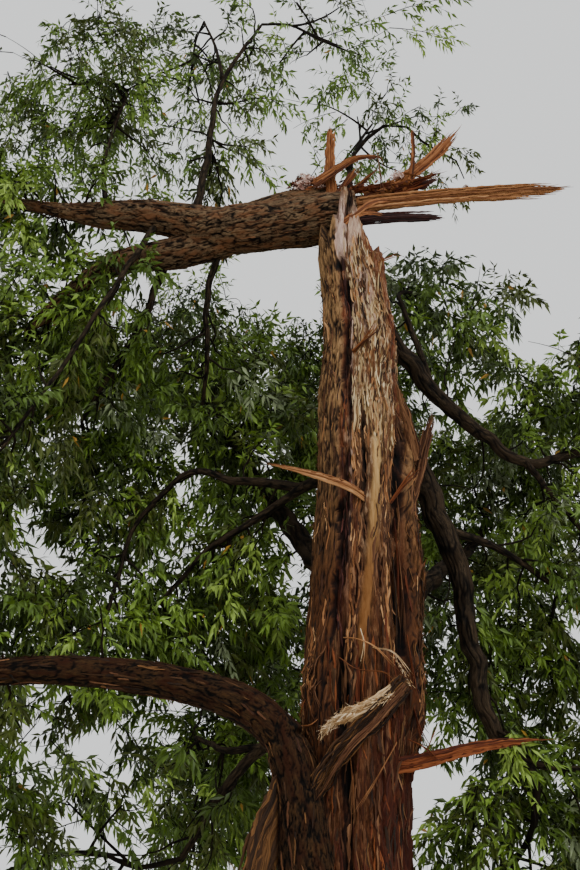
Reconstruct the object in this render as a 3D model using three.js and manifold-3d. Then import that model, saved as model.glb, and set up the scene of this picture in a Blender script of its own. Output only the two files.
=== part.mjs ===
// A storm-broken tree: a stripped, splintered trunk, its snapped top hinged over to one side,
// living boughs behind, and the masses of leaves that they carry.
// Millimetres, +Z up, the origin at the middle of the flat cut under the trunk.
// The side with the torn wood faces -Y, and the snapped top lies towards -X.

import * as THREE from 'three';
import { mergeVertices } from 'three/addons/utils/BufferGeometryUtils.js';
import Module from 'manifold-3d';

const wasm = await Module();
wasm.setup();

// Driving dimensions
const clearance = 0.3;          // air between two pieces that touch
const trunkHeight = 9150;       // tip of the standing front plate
const breakHeight = 8440;       // broken wood at both sides of that plate
const hingeHeight = 8880;       // broken wood at the back, where the top still hangs on
const barkThickness = 36;
const slabThickness = 130;      // loose slab of bark on the right
const channelDepth = 42;
const groundRadius = 520;
const flareReach = 260;         // how far a root lobe stands out at the ground
const flareHeight = 620;        // height over which the lobes die away
const flareLobes = 6;
const flareTurn = 0.6;          // radians
const flareSkirt = 0.3;         // share of the flare that runs all round
const trunkSides = 28;
const trunkRings = 21;
const ringCrowding = 1.15;      // over 1 puts the rings closer together near the ground
const trunkRoughness = 0.05;    // of the radius
const rimRaggedness = 110;
const barkTop = 9300;           // no bark above this
const logRadius = 250;          // snapped top at its torn butt
const limbSides = 6;
const thickLimb = 180;          // a limb of a larger radius has more sides
const thickLimbSides = 10;
const limbStep = 680;           // length of limb to each ring
const collarSwell = 0.35;       // a limb is this much thicker at its collar
const collarLength = 1.6;       // of its radius, over which the collar dies away
const bladeStep = 300;          // length of blade to each ring
const bladeRaggedness = 0.3;    // of its width
const bladeTaper = 1.2;         // over 1 keeps a blade wide for longer
const bladeTip = 0.12;          // of its width, left at the tip
const bladeTipThickness = 0.35; // of its thickness, left at the tip
const sprayLength = 820;        // one leafy spray, larger than a leaf
const sprayWidth = 0.4;         // of its length
const sprayThickness = 0.045;   // of its length
const sprayMiddle = 0.42;       // of its length, where it is widest
const shorterSpray = 0.68;      // of its length, where a full one would not fit
const sprayGap = 170;           // between the middles and tips of neighbouring sprays
const sprayTries = 5;           // directions tried before a place on a twig stays bare
const twigRadius = 20;
const twigTipRadius = 12;
const limbAir = 40;             // leaves and twigs keep this far from the limbs
const limbSampleStep = 70;      // length of limb to each place where that is tested
const trunkRoom = 9400;         // below this they keep clear of the trunk too
const freeSteps = 8;            // places tested along a twig or a spray
const spaceAir = 0.02;          // of a mass's reach, kept from the next mass
const goldenAngle = Math.PI * (3 - Math.sqrt(5));

// Core of the trunk by height: where its middle lies in x, and its radius
const trunkCore = [
  { z: 0, x: 0, r: groundRadius },
  { z: 900, x: -20, r: 470 },
  { z: 2000, x: -55, r: 425 },
  { z: 3100, x: -92, r: 380 },
  { z: 4300, x: -50, r: 385 },
  { z: 5100, x: -15, r: 350 },
  { z: 6000, x: 35, r: 330 },
  { z: 7000, x: 50, r: 325 },
  { z: 7500, x: 75, r: 295 },
  { z: 8000, x: 45, r: 268 },
  { z: 8500, x: 0, r: 262 },
  { z: 9300, x: 0, r: 205 },
];

// Bark and channels on the trunk: bearings in degrees from the torn front (-Y), positive towards +X
const barkZones = [
  { from: 260, wide: 66, low: 0, high: barkTop, rise: barkThickness },      // strip left on the left side
  { from: 100, wide: 160, low: 0, high: 8300, rise: barkThickness },     // whole back
  { from: 326, wide: 134, low: 0, high: 2500, rise: barkThickness },     // foot, below the torn wood
  { from: 55, wide: 57, low: 3900, high: 6300, rise: slabThickness },    // loose slab on the right
  { from: 326, wide: 16, low: 3300, high: 8400, rise: -channelDepth },   // shadow line beside the left strip
  { from: 39, wide: 18, low: 4200, high: 7400, rise: -channelDepth },    // cleft beside the slab
];

// Where the rim stands tall: the plate in front and the hinge wood behind, in degrees
const plateBearing = -8;
const plateSpread = 48;
const plateShoulder = 1.35;     // over 1 gives the plate a flat top
const plateCurve = 1.2;
const hingeBearing = 105;
const hingeSlope = 37;

const colours = {
  bark: 0x55392b,
  darkBark: 0x2e221c,
  splinter: 0xb4673a,
  leaf: 0x4c6b2c,
};

// Seeded numbers

function makeRandom(seed) {
  let state = seed >>> 0;
  return () => {
    state = (Math.imul(state, 1664525) + 1013904223) >>> 0;
    return state / 4294967296;
  };
}

// Solids

function toSolid(geometry) {
  geometry.deleteAttribute('normal');
  geometry.deleteAttribute('uv');
  const merged = mergeVertices(geometry, 1e-3);
  const mesh = new wasm.Mesh({
    numProp: 3,
    vertProperties: new Float32Array(merged.attributes.position.array),
    triVerts: new Uint32Array(merged.index.array),
  });
  return new wasm.Manifold(mesh);
}

function toGeometry(solid) {
  const mesh = solid.getMesh();
  const geometry = new THREE.BufferGeometry();
  geometry.setAttribute('position', new THREE.BufferAttribute(new Float32Array(mesh.vertProperties), 3));
  geometry.setIndex(new THREE.BufferAttribute(new Uint32Array(mesh.triVerts), 1));
  const flat = geometry.toNonIndexed();
  flat.computeVertexNormals();
  return flat;
}

function largestBody(solid) {
  const bodies = solid.decompose();
  return bodies.reduce((best, body) => (body.volume() > best.volume() ? body : best));
}

function point(p) {
  return new THREE.Vector3(...p);
}

// A cylinder bent along a curve; radiusAt(t, angle) gives its skin, and grow thickens it all round
function bentCylinder(curve, sides, steps, radiusAt, grow = 0) {
  const geometry = new THREE.CylinderGeometry(1, 1, 1, sides, steps);
  const frames = curve.computeFrenetFrames(steps, false);
  const places = geometry.attributes.position;
  for (let i = 0; i < places.count; i += 1) {
    const side = places.getX(i);
    const front = places.getZ(i);
    const t = places.getY(i) + 0.5;
    const ring = Math.round(t * steps);
    const centre = curve.getPointAt(t);
    const isAxis = Math.hypot(side, front) < 1e-6;
    const radius = isAxis ? 0 : radiusAt(t, Math.atan2(side, front)) + grow;
    centre.addScaledVector(frames.normals[ring], side * radius);
    centre.addScaledVector(frames.binormals[ring], -front * radius);
    if (ring === 0) centre.addScaledVector(frames.tangents[ring], -grow);
    if (ring === steps) centre.addScaledVector(frames.tangents[ring], grow);
    places.setXYZ(i, centre.x, centre.y, centre.z);
  }
  return toSolid(geometry);
}

// Trunk

function coreAt(z) {
  const above = trunkCore.findIndex((row) => row.z >= z);
  if (above <= 0) return trunkCore[above === 0 ? 0 : trunkCore.length - 1];
  const low = trunkCore[above - 1];
  const high = trunkCore[above];
  const share = (z - low.z) / (high.z - low.z);
  return { x: low.x + (high.x - low.x) * share, r: low.r + (high.r - low.r) * share };
}

function sumAt(zones, z, bearing) {
  const turn = (bearing + 360) % 360;
  return zones
    .filter((zone) => z >= zone.low && z < zone.high && (turn - zone.from + 720) % 360 < zone.wide)
    .reduce((sum, zone) => sum + zone.rise, 0);
}

function flareAt(z, bearing) {
  const lobe = 0.5 + 0.5 * Math.cos(THREE.MathUtils.degToRad(bearing) * flareLobes + flareTurn);
  return flareReach * Math.exp(-z / flareHeight) * (flareSkirt + (1 - flareSkirt) * lobe);
}

// Height of the torn rim: a narrow plate in front, low sides, and the hinge wood at the back
function rimAt(bearing, ragged) {
  const plate = Math.max(0, 1 - Math.abs(bearing - plateBearing) / plateSpread);
  const hinge = Math.max(0, (Math.abs(bearing) - hingeBearing) / hingeSlope);
  const plateRise = (trunkHeight - breakHeight) * Math.min(1, plate * plateShoulder) ** plateCurve;
  const hingeRise = (hingeHeight - breakHeight) * Math.min(1, hinge);
  return breakHeight + plateRise + hingeRise + ragged;
}

function trunkSolid(grow = 0) {
  const geometry = new THREE.CylinderGeometry(1, 1, 1, trunkSides, trunkRings);
  const places = geometry.attributes.position;
  const random = makeRandom(41);
  const rough = Array.from({ length: trunkSides }, () => random() - 0.5);
  for (let i = 0; i < places.count; i += 1) {
    const side = places.getX(i);
    const front = places.getZ(i);
    const t = places.getY(i) + 0.5;
    const bearing = THREE.MathUtils.radToDeg(Math.atan2(side, front));
    const facet = Math.round(((bearing + 360) % 360) / (360 / trunkSides)) % trunkSides;
    if (Math.hypot(side, front) < 1e-6) {
      places.setXYZ(i, coreAt(breakHeight).x, 0, t < 0.5 ? -grow : breakHeight + grow);
      continue;
    }
    const z = t ** ringCrowding * rimAt(bearing, rimRaggedness * rough[facet]);
    const core = coreAt(z);
    const skin = sumAt(barkZones, z, bearing) + flareAt(z, bearing);
    const radius = core.r * (1 + trunkRoughness * rough[facet]) + skin + grow;
    const lift = t === 0 ? -grow : t === 1 ? grow : 0;
    places.setXYZ(i, core.x + side * radius, -front * radius, z + lift);
  }
  return toSolid(geometry);
}

// Limbs, each from its root inside what carries it to its free end
const limbs = [
  { name: 'toppled_top', from: logRadius, to: 228, collar: 0, bark: 'bark',
    path: [[70, 140, 9090], [-220, 140, 9060], [-800, 120, 8950], [-1330, 110, 8880]] },
  { name: 'toppled_leader', from: 190, to: 78, bark: 'bark',
    path: [[-1230, 110, 8900], [-1910, 100, 9050], [-2490, 100, 9080], [-3420, 110, 9270]] },
  { name: 'toppled_limb', from: 175, to: 62, bark: 'bark',
    path: [[-1180, 190, 8860], [-1600, 220, 8720], [-2290, 300, 8600], [-3010, 400, 7940]] },
  { name: 'branch_upright', from: 62, to: 22, bark: 'darkBark',
    path: [[-1500, 120, 9000], [-1390, 150, 9810], [-1280, 200, 10900], [-860, 220, 11810]] },
  { name: 'branch_upright_fork', from: 30, to: 16, bark: 'darkBark',
    path: [[-1270, 200, 10980], [-1340, 230, 11390], [-1500, 260, 11900]] },
  { name: 'branch_upright_left', from: 46, to: 18, bark: 'darkBark',
    path: [[-2330, 110, 9100], [-2410, 150, 9750], [-2250, 220, 10840]] },
  { name: 'branch_hanging_left', from: 62, to: 26, bark: 'darkBark',
    path: [[-1760, 280, 8680], [-1910, 420, 8190], [-2120, 540, 7800], [-2490, 640, 7080]] },
  { name: 'branch_hanging_middle', from: 52, to: 22, bark: 'darkBark',
    path: [[-1250, 240, 8750], [-1350, 360, 8250], [-1350, 620, 7780], [-1420, 1100, 7300]] },
  { name: 'branch_hanging_front', from: 46, to: 20, bark: 'darkBark',
    path: [[-1830, 80, 8960], [-2220, -150, 7890], [-2540, -250, 7090], [-2930, -350, 6250]] },
  { name: 'bough_lower_left_stem', from: 225, to: 155, bark: 'bark',
    path: [[-260, -130, 2380], [-440, -270, 2960], [-500, -335, 3540], [-600, -335, 3930]] },
  { name: 'bough_lower_left', from: 150, to: 82, collar: 0, bark: 'bark',
    path: [[-565, -335, 3860], [-880, -305, 4140], [-1610, -250, 4360],
      [-2600, -200, 4440], [-3420, -170, 4340]] },
  { name: 'bough_right_upper', from: 120, to: 40, bark: 'darkBark',
    path: [[180, 200, 8060], [480, 480, 7760], [1130, 780, 7110],
      [1630, 900, 6800], [2200, 1010, 6960]] },
  { name: 'bough_right_upper_fork', from: 48, to: 26, bark: 'darkBark',
    path: [[1630, 900, 6800], [1880, 950, 6430], [2190, 1000, 6020]] },
  { name: 'bough_right_riser', from: 52, to: 26, bark: 'darkBark',
    path: [[790, 680, 7430], [620, 660, 8100], [520, 720, 8560], [690, 1100, 8880]] },
  { name: 'bough_right_lower', from: 160, to: 66, bark: 'darkBark',
    path: [[200, 150, 7260], [600, 580, 6550], [900, 760, 5650],
      [1020, 850, 4790], [1160, 900, 4250], [1460, 960, 3900]] },
  { name: 'bough_right_lower_fork', from: 62, to: 30, bark: 'darkBark',
    path: [[800, 700, 6020], [1220, 820, 5930], [1860, 1120, 5620]] },
  { name: 'bough_right_foot', from: 55, to: 30, bark: 'darkBark',
    path: [[1180, 890, 4230], [1500, 950, 4010], [2250, 1020, 3980]] },
  { name: 'bough_left_middle', from: 80, to: 34, bark: 'darkBark',
    path: [[-100, 180, 6300], [-430, 480, 6340], [-1060, 700, 6510],
      [-1450, 790, 6640], [-1830, 850, 6330]] },
  { name: 'bough_left_middle_drop', from: 34, to: 20, collar: 0, bark: 'darkBark',
    path: [[-1810, 848, 6350], [-1980, 890, 6110], [-2110, 920, 5530], [-2210, 950, 5070]] },
  { name: 'bough_left_middle_fork', from: 58, to: 26, bark: 'darkBark',
    path: [[-420, 480, 6340], [-820, 620, 6110], [-1310, 760, 5820], [-1700, 900, 5400]] },
  { name: 'bough_left_low', from: 95, to: 36, bark: 'darkBark',
    path: [[-120, 160, 4040], [-700, 480, 4060], [-990, 620, 3850], [-1420, 820, 3240]] },
  { name: 'bough_left_low_riser', from: 50, to: 26, bark: 'darkBark',
    path: [[-760, 500, 4040], [-1050, 700, 4070], [-1380, 1280, 4330]] },
  { name: 'bough_rear_top', from: 150, to: 55, bark: 'darkBark',
    path: [[0, 120, 6300], [80, 1000, 7600], [150, 1700, 9200], [150, 2000, 11350]] },
  { name: 'bough_rear_middle', from: 110, to: 46, bark: 'darkBark',
    path: [[40, 120, 5600], [-60, 1100, 6300], [-120, 2000, 7100], [-60, 2600, 8000]] },
  { name: 'bough_rear_left', from: 140, to: 52, bark: 'darkBark',
    path: [[-60, 120, 5150], [-500, 1000, 6100], [-1000, 1800, 7250], [-1420, 2350, 8350]] },
  { name: 'bough_rear_right', from: 140, to: 52, bark: 'darkBark',
    path: [[20, 120, 4900], [560, 1000, 5550], [1000, 1800, 6150], [1420, 2450, 6720]] },
  { name: 'bough_rear_low', from: 120, to: 48, bark: 'darkBark',
    path: [[-60, 120, 3500], [-120, 1000, 3950], [-60, 1750, 4400], [-20, 2450, 4850]] },
];

function limbCurve(limb) {
  return new THREE.CatmullRomCurve3(limb.path.map(point), false, 'centripetal');
}

function limbRadiusAt(limb, length, t) {
  const collar = limb.collar ?? collarSwell;
  const taper = limb.from + (limb.to - limb.from) * t;
  return taper * (1 + collar * Math.exp((-t * length) / (collarLength * limb.from)));
}

function limbSolid(limb, grow = 0) {
  const curve = limbCurve(limb);
  const length = curve.getLength();
  const steps = Math.max(3, Math.round(length / limbStep));
  const sides = limb.from > thickLimb ? thickLimbSides : limbSides;
  return bentCylinder(curve, sides, steps, (t) => limbRadiusAt(limb, length, t), grow);
}

// Pieces that are one with a limb: a second stem along the log, and torn bark across the trunk
const ridge = { from: 125, to: 110, collar: 0,
  path: [[-1300, 250, 9050], [-960, 300, 9210], [-480, 300, 9330], [-60, 280, 9350]] };
const strap = { wide: 125, thick: 60, seed: 23, turn: 25, tip: 0.7,
  path: [[270, -330, 4270], [20, -465, 4010], [-180, -500, 3800], [-440, -400, 3470]] };

// Splinters and torn bark: flat blades that narrow to a point, with a ragged edge
const blades = [
  { name: 'splinter_long', wide: 190, thick: 85, seed: 3, turn: 0, colour: 'splinter',
    path: [[0, 60, 9140], [350, 50, 9190], [1280, 50, 9300], [2200, 60, 9370]] },
  { name: 'splinter_plate', wide: 130, thick: 40, seed: 7, turn: 0, colour: 'splinter',
    path: [[180, 110, 9300], [520, 90, 9480], [860, 90, 9800], [1180, 110, 10240]] },
  { name: 'splinter_butt', wide: 290, thick: 200, seed: 9, turn: 0, colour: 'splinter', tip: 0.08,
    path: [[-40, 150, 9170], [300, 130, 9270], [640, 120, 9420], [1010, 120, 9610]] },
  { name: 'splinter_upright', wide: 92, thick: 50, seed: 11, turn: 0, colour: 'splinter', tip: 0.5,
    path: [[-150, 110, 9200], [-165, 100, 9650], [-148, 100, 10210]] },
  { name: 'splinter_left', wide: 82, thick: 40, seed: 15, turn: 0, colour: 'splinter',
    path: [[120, -240, 5830], [-120, -420, 5900], [-400, -500, 5960], [-790, -600, 6010]] },
  { name: 'splinter_right_low', wide: 120, thick: 50, seed: 17, turn: 0, colour: 'splinter',
    path: [[40, -220, 3700], [430, -250, 3760], [830, -240, 3860], [1430, -230, 3930]] },
  { name: 'bark_flap_right', wide: 190, thick: 36, seed: 19, turn: 70, colour: 'bark',
    path: [[330, -130, 5750], [470, -110, 6080], [560, -90, 6420], [700, -60, 6830]] },
  { name: 'bark_flap_low', wide: 250, thick: 60, seed: 21, turn: 40, colour: 'bark', tip: 0.4,
    path: [[-500, -330, 3700], [-640, -370, 3400], [-760, -410, 3060], [-860, -430, 2560]] },
];

function bladeSolid(blade, grow = 0) {
  const curve = new THREE.CatmullRomCurve3(blade.path.map(point), false, 'centripetal');
  const steps = Math.max(4, Math.round(curve.getLength() / bladeStep));
  const random = makeRandom(blade.seed);
  const ragged = Array.from({ length: (steps + 1) * 2 }, () => 1 + bladeRaggedness * (random() - 0.5));
  const tip = blade.tip ?? bladeTip;
  const turn = THREE.MathUtils.degToRad(blade.turn);
  const frames = curve.computeFrenetFrames(steps, false);
  const radiusAt = (t, angle) => {
    const ring = Math.round(t * steps);
    const outward = new THREE.Vector3()
      .addScaledVector(frames.normals[ring], Math.sin(angle))
      .addScaledVector(frames.binormals[ring], -Math.cos(angle));
    const across = wideDirection(frames.tangents[ring], turn);
    const along = outward.dot(across);
    const edge = ragged[ring * 2 + (along > 0 ? 1 : 0)];
    const shrink = 1 - (1 - tip) * t ** bladeTaper;
    const halfWide = (blade.wide / 2) * shrink * edge;
    const halfThick = (blade.thick / 2) * (bladeTipThickness + (1 - bladeTipThickness) * shrink);
    return 1 / Math.hypot(along / halfWide, Math.sqrt(Math.max(0, 1 - along * along)) / halfThick);
  };
  return bentCylinder(curve, 6, steps, radiusAt, grow);
}

// The way a blade is wide: square to its run, upright, then turned about the run
function wideDirection(tangent, turn) {
  const upright = Math.abs(tangent.z) > 0.8 ? new THREE.Vector3(1, 0, 0) : new THREE.Vector3(0, 0, 1);
  const across = upright.addScaledVector(tangent, -upright.dot(tangent)).normalize();
  return across.applyAxisAngle(tangent, turn);
}

// Masses of foliage: each grows from the free end of its limb into its own space
const masses = [
  { name: 'foliage_top_left', on: 'branch_upright_left',
    centre: [-2850, 650, 11350], reach: [1100, 1050, 850] },
  { name: 'foliage_leader', on: 'toppled_leader',
    centre: [-4050, 150, 9750], reach: [950, 1150, 1050] },
  { name: 'foliage_left_high', on: 'toppled_limb',
    centre: [-3050, 1000, 7950], reach: [1050, 1100, 950] },
  { name: 'foliage_left_inner', on: 'branch_hanging_left',
    centre: [-2350, 1550, 6850], reach: [1000, 1000, 950] },
  { name: 'foliage_middle_left', on: 'branch_hanging_middle',
    centre: [-900, 1850, 7450], reach: [900, 1000, 950] },
  { name: 'foliage_front_left', on: 'branch_hanging_front',
    centre: [-3550, -150, 5950], reach: [950, 950, 950] },
  { name: 'foliage_left_drop', on: 'bough_left_middle_drop',
    centre: [-2750, 1000, 4950], reach: [950, 1000, 850] },
  { name: 'foliage_left_core', on: 'bough_left_middle_fork',
    centre: [-1350, 1650, 5500], reach: [900, 950, 900] },
  { name: 'foliage_low_left', on: 'bough_left_low',
    centre: [-2100, 1150, 3350], reach: [1050, 1050, 850] },
  { name: 'foliage_left_riser', on: 'bough_left_low_riser',
    centre: [-1200, 2200, 4150], reach: [950, 1000, 850] },
  { name: 'foliage_lower_bough', on: 'bough_lower_left',
    centre: [-3800, 250, 3850], reach: [1050, 1150, 950] },
  { name: 'foliage_crest', on: 'branch_upright',
    centre: [-250, 650, 12050], reach: [1000, 1000, 750] },
  { name: 'foliage_crest_left', on: 'branch_upright_fork',
    centre: [-1720, 1200, 12000], reach: [900, 950, 750] },
  { name: 'foliage_right_high', on: 'bough_right_upper',
    centre: [2550, 1350, 7850], reach: [1000, 1100, 900] },
  { name: 'foliage_right_middle', on: 'bough_right_upper_fork',
    centre: [2700, 1500, 5950], reach: [950, 1150, 900] },
  { name: 'foliage_right_top', on: 'bough_right_riser',
    centre: [1120, 1750, 8900], reach: [850, 900, 850] },
  { name: 'foliage_right_core', on: 'bough_right_lower_fork',
    centre: [1560, 1950, 5150], reach: [850, 950, 850] },
  { name: 'foliage_low_right', on: 'bough_right_lower',
    centre: [1300, 1550, 3300], reach: [1050, 1100, 850] },
  { name: 'foliage_right_foot', on: 'bough_right_foot',
    centre: [2600, 1300, 4250], reach: [950, 1050, 850] },
  { name: 'foliage_rear_top', on: 'bough_rear_top',
    centre: [400, 2350, 12250], reach: [1150, 1050, 850] },
  { name: 'foliage_rear_middle', on: 'bough_rear_middle',
    centre: [0, 3200, 8900], reach: [1200, 1050, 1100] },
  { name: 'foliage_rear_left', on: 'bough_rear_left',
    centre: [-1650, 2900, 9150], reach: [1150, 1100, 1050] },
  { name: 'foliage_rear_right', on: 'bough_rear_right',
    centre: [1650, 3150, 7400], reach: [1200, 1150, 1150] },
  { name: 'foliage_rear_low', on: 'bough_rear_low',
    centre: [-50, 3250, 5500], reach: [1350, 1150, 1250] },
];
const twigsPerMass = 6;
const spraysPerTwig = 3;
const stemSides = 4;
const stemSteps = 3;
const stemStartRadius = 48;     // at most
const stemShare = 0.95;         // of its limb's end, at most
const stemEndRadius = 22;
const stemRoot = 12;            // the stem starts this far inside the limb's end
const stemSpring = 90;          // it leaves the end in the limb's own direction
const stemBend = 0.45;          // share of the way to the middle of the mass where it bends
const stemBeyond = 0.3;         // of the reach, past the middle of the mass
const firstTwig = 0.4;          // share of the stem below the lowest twig
const twigSpan = 0.5;           // share of the stem that carries twigs
const twigReach = 0.5;          // of the reach, the shortest twig
const twigSpread = 0.14;        // of the reach, more for the longest
const firstSpray = 0.45;        // share of the twig below the first spray
const spraySpan = 0.27;         // from one spray to the next
const endSpray = 0.94;          // where the last one is rooted
const spraySizes = { least: 0.85, spread: 0.3 };   // of the spray's length
const sprayLean = { least: 0.75, spread: 0.45 };   // radians from the twig
const endLean = 0.3;            // of that, for the last one
const sprayTilt = 2.2;          // radians about its own run, from edge to edge
const sprayDroop = 0.2;
const sprayMarks = [0.3, 0.5, 0.75, 1];            // of its length, kept apart from the others
const twigMarks = [0.15, 0.4, 0.65];

const limbSamples = limbs.flatMap((limb) => {
  const curve = limbCurve(limb);
  const length = curve.getLength();
  const count = Math.ceil(length / limbSampleStep);
  return Array.from({ length: count + 1 }, (_, i) => ({
    place: curve.getPointAt(i / count),
    radius: limbRadiusAt(limb, length, i / count),
  }));
});

function depthIn(mass, place) {
  const [x, y, z] = mass.centre;
  const [rx, ry, rz] = mass.reach;
  return Math.hypot((place.x - x) / rx, (place.y - y) / ry, (place.z - z) / rz);
}

function inOwnSpace(mass, place) {
  const own = depthIn(mass, place);
  return own < 1 && masses.every((other) => other === mass || depthIn(other, place) > own + 2 * spaceAir);
}

function clearOfLimbs(place) {
  const core = coreAt(place.z);
  const fromTrunk = Math.hypot(place.x - core.x, place.y) - core.r - barkThickness;
  if (place.z < trunkRoom && fromTrunk < limbAir) return false;
  return limbSamples.every((sample) => place.distanceTo(sample.place) > sample.radius + limbAir);
}

function straightIsFree(mass, from, to) {
  for (let i = 1; i <= freeSteps; i += 1) {
    const place = from.clone().lerp(to, i / freeSteps);
    if (!inOwnSpace(mass, place) || !clearOfLimbs(place)) return false;
  }
  return true;
}

// One spray: a flat eight-faced blade from its root inside a twig to its tip
function spraySolid(root, direction, side, length) {
  const up = new THREE.Vector3().crossVectors(direction, side).normalize();
  const middle = root.clone().addScaledVector(direction, length * sprayMiddle);
  const tip = root.clone().addScaledVector(direction, length);
  const halfWidth = (length * sprayWidth) / 2;
  const halfThick = (length * sprayThickness) / 2;
  const ring = [[side, halfWidth], [up, halfThick], [side, -halfWidth], [up, -halfThick]]
    .map(([way, size]) => middle.clone().addScaledVector(way, size));
  const corners = [];
  for (let i = 0; i < 4; i += 1) {
    const next = ring[(i + 1) % 4];
    corners.push(root, next, ring[i], ring[i], next, tip);
  }
  const geometry = new THREE.BufferGeometry().setFromPoints(corners);
  geometry.computeVertexNormals();
  return toSolid(geometry);
}

function twigSolid(from, to) {
  const radiusAt = (t) => twigRadius + (twigTipRadius - twigRadius) * t;
  return bentCylinder(new THREE.LineCurve3(from, to), 3, 1, radiusAt);
}

// The stem runs from just inside the limb's free end, through the middle of the mass
function stemCurveOf(mass) {
  const curve = limbCurve(limbs.find((limb) => limb.name === mass.on));
  const tip = curve.getPointAt(1);
  const heading = curve.getTangentAt(1);
  const centre = point(mass.centre);
  const reach = point(mass.reach);
  const root = tip.clone().addScaledVector(heading, -stemRoot);
  const onward = centre.clone().sub(tip).normalize().multiply(reach);
  const far = centre.clone().addScaledVector(onward, stemBeyond);
  const bend = tip.clone().lerp(centre, stemBend).addScaledVector(heading, stemSpring);
  return new THREE.CatmullRomCurve3([root, bend, centre, far], false, 'centripetal');
}

// Twig number i of a mass: outward by the golden angle, to about half of its reach
function twigEnds(mass, stemCurve, seed, i) {
  const random = makeRandom(seed * 7919 + i * 131);
  const rise = 1 - (2 * (i + 0.5)) / twigsPerMass;
  const turn = i * goldenAngle + seed;
  const ring = Math.sqrt(1 - rise * rise);
  const outward = new THREE.Vector3(ring * Math.cos(turn), ring * Math.sin(turn), rise);
  const start = stemCurve.getPointAt(firstTwig + (twigSpan * ((i * 5) % twigsPerMass)) / twigsPerMass);
  const share = twigReach + twigSpread * random();
  const end = point(mass.centre).add(outward.multiply(point(mass.reach)).multiplyScalar(share));
  return [start, end];
}

function pick({ least, spread }, random) {
  return least + spread * random();
}

// The first free way for a spray at its place on a twig, or none
function findSpray(mass, start, end, place, seed, taken) {
  const random = makeRandom(seed);
  const isLast = place === spraysPerTwig - 1;
  const run = end.clone().sub(start).normalize();
  const base = start.clone().lerp(end, isLast ? endSpray : firstSpray + spraySpan * place);
  for (let tries = 0; tries < sprayTries; tries += 1) {
    const size = sprayLength * pick(spraySizes, random) * (tries < 2 ? 1 : shorterSpray);
    const lean = (place % 2 === 0 ? 1 : -1) * pick(sprayLean, random);
    const roll = 2 * Math.PI * random();
    const tilt = sprayTilt * (random() - 0.5);
    const level = new THREE.Vector3(-run.y, run.x, 0.001).normalize().applyAxisAngle(run, roll);
    const direction = run.clone().applyAxisAngle(level, isLast ? endLean * lean : lean);
    direction.z -= sprayDroop;
    direction.normalize();
    const marks = sprayMarks.map((share) => base.clone().addScaledVector(direction, size * share));
    const isApart = marks.every((mark) => taken.every((other) => other.distanceTo(mark) > sprayGap));
    if (isApart && straightIsFree(mass, base, marks.at(-1))) {
      const side = new THREE.Vector3().crossVectors(direction, level).normalize();
      return { base, direction, side: side.applyAxisAngle(direction, tilt), size, marks };
    }
  }
  return null;
}

function growMass(mass, seed) {
  const stemCurve = stemCurveOf(mass);
  const limb = limbs.find((each) => each.name === mass.on);
  const stemRadius = Math.min(limb.to * stemShare, stemStartRadius);
  const stemRadiusAt = (t) => stemRadius + (stemEndRadius - stemRadius) * t;
  const solids = [bentCylinder(stemCurve, stemSides, stemSteps, stemRadiusAt)];
  const twigs = [];
  for (let i = 0; i < twigsPerMass; i += 1) {
    const [start, end] = twigEnds(mass, stemCurve, seed, i);
    if (straightIsFree(mass, start, end)) twigs.push({ start, end, seed: seed * 1009 + i * 53 });
  }
  const taken = twigs.flatMap(({ start, end }) => twigMarks.map((share) => start.clone().lerp(end, share)));
  for (const { start, end, seed: twigSeed } of twigs) {
    solids.push(twigSolid(start, end));
    for (let place = spraysPerTwig - 1; place >= 0; place -= 1) {
      const spray = findSpray(mass, start, end, place, twigSeed + place, taken);
      if (!spray) continue;
      taken.push(...spray.marks);
      solids.push(spraySolid(spray.base, spray.direction, spray.side, spray.size));
    }
  }
  return wasm.Manifold.union(solids);
}

// Assembly

const group = new THREE.Group();
group.name = 'storm_broken_tree';

function addNode(name, solid, colour) {
  const material = new THREE.MeshStandardMaterial({ color: colour, roughness: 0.85, metalness: 0 });
  const mesh = new THREE.Mesh(toGeometry(solid), material);
  mesh.name = name;
  group.add(mesh);
}

function boxesMeet(a, b) {
  const first = a.boundingBox();
  const second = b.boundingBox();
  return [0, 1, 2].every((axis) => (
    first.min[axis] <= second.max[axis] && second.min[axis] <= first.max[axis]
  ));
}

// Each piece is cut clear of the thicker pieces that were made before it
const standing = [];

function cutClear(solid) {
  const meeting = standing.filter((other) => boxesMeet(other, solid));
  const cut = meeting.reduce((rest, other) => rest.subtract(other), solid);
  return largestBody(cut);
}

// A limb with what is one with it
function wholeLimb(limb, grow = 0) {
  const solid = limbSolid(limb, grow);
  if (limb.name === 'toppled_top') return solid.add(limbSolid(ridge, grow));
  if (limb.name === 'bough_lower_left_stem') return solid.add(bladeSolid(strap, grow));
  return solid;
}

const [log, ...otherLimbs] = limbs;
const trunk = largestBody(trunkSolid().subtract(wholeLimb(log, clearance)));
addNode('trunk', trunk, colours.bark);
addNode(log.name, wholeLimb(log), colours[log.bark]);
standing.push(trunkSolid(clearance), wholeLimb(log, clearance));

for (const limb of otherLimbs) {
  addNode(limb.name, cutClear(wholeLimb(limb)), colours[limb.bark]);
  standing.push(wholeLimb(limb, clearance));
}

for (const blade of blades) {
  addNode(blade.name, cutClear(bladeSolid(blade)), colours[blade.colour]);
  standing.push(bladeSolid(blade, clearance));
}

masses.forEach((mass, index) => {
  addNode(mass.name, cutClear(growMass(mass, index + 1)), colours.leaf);
});

export default group;
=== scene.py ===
# A storm-broken tree: bark, torn wood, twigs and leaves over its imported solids.
# Metres, +Z up, the origin in the middle of the flat cut under the trunk.

import math

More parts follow.
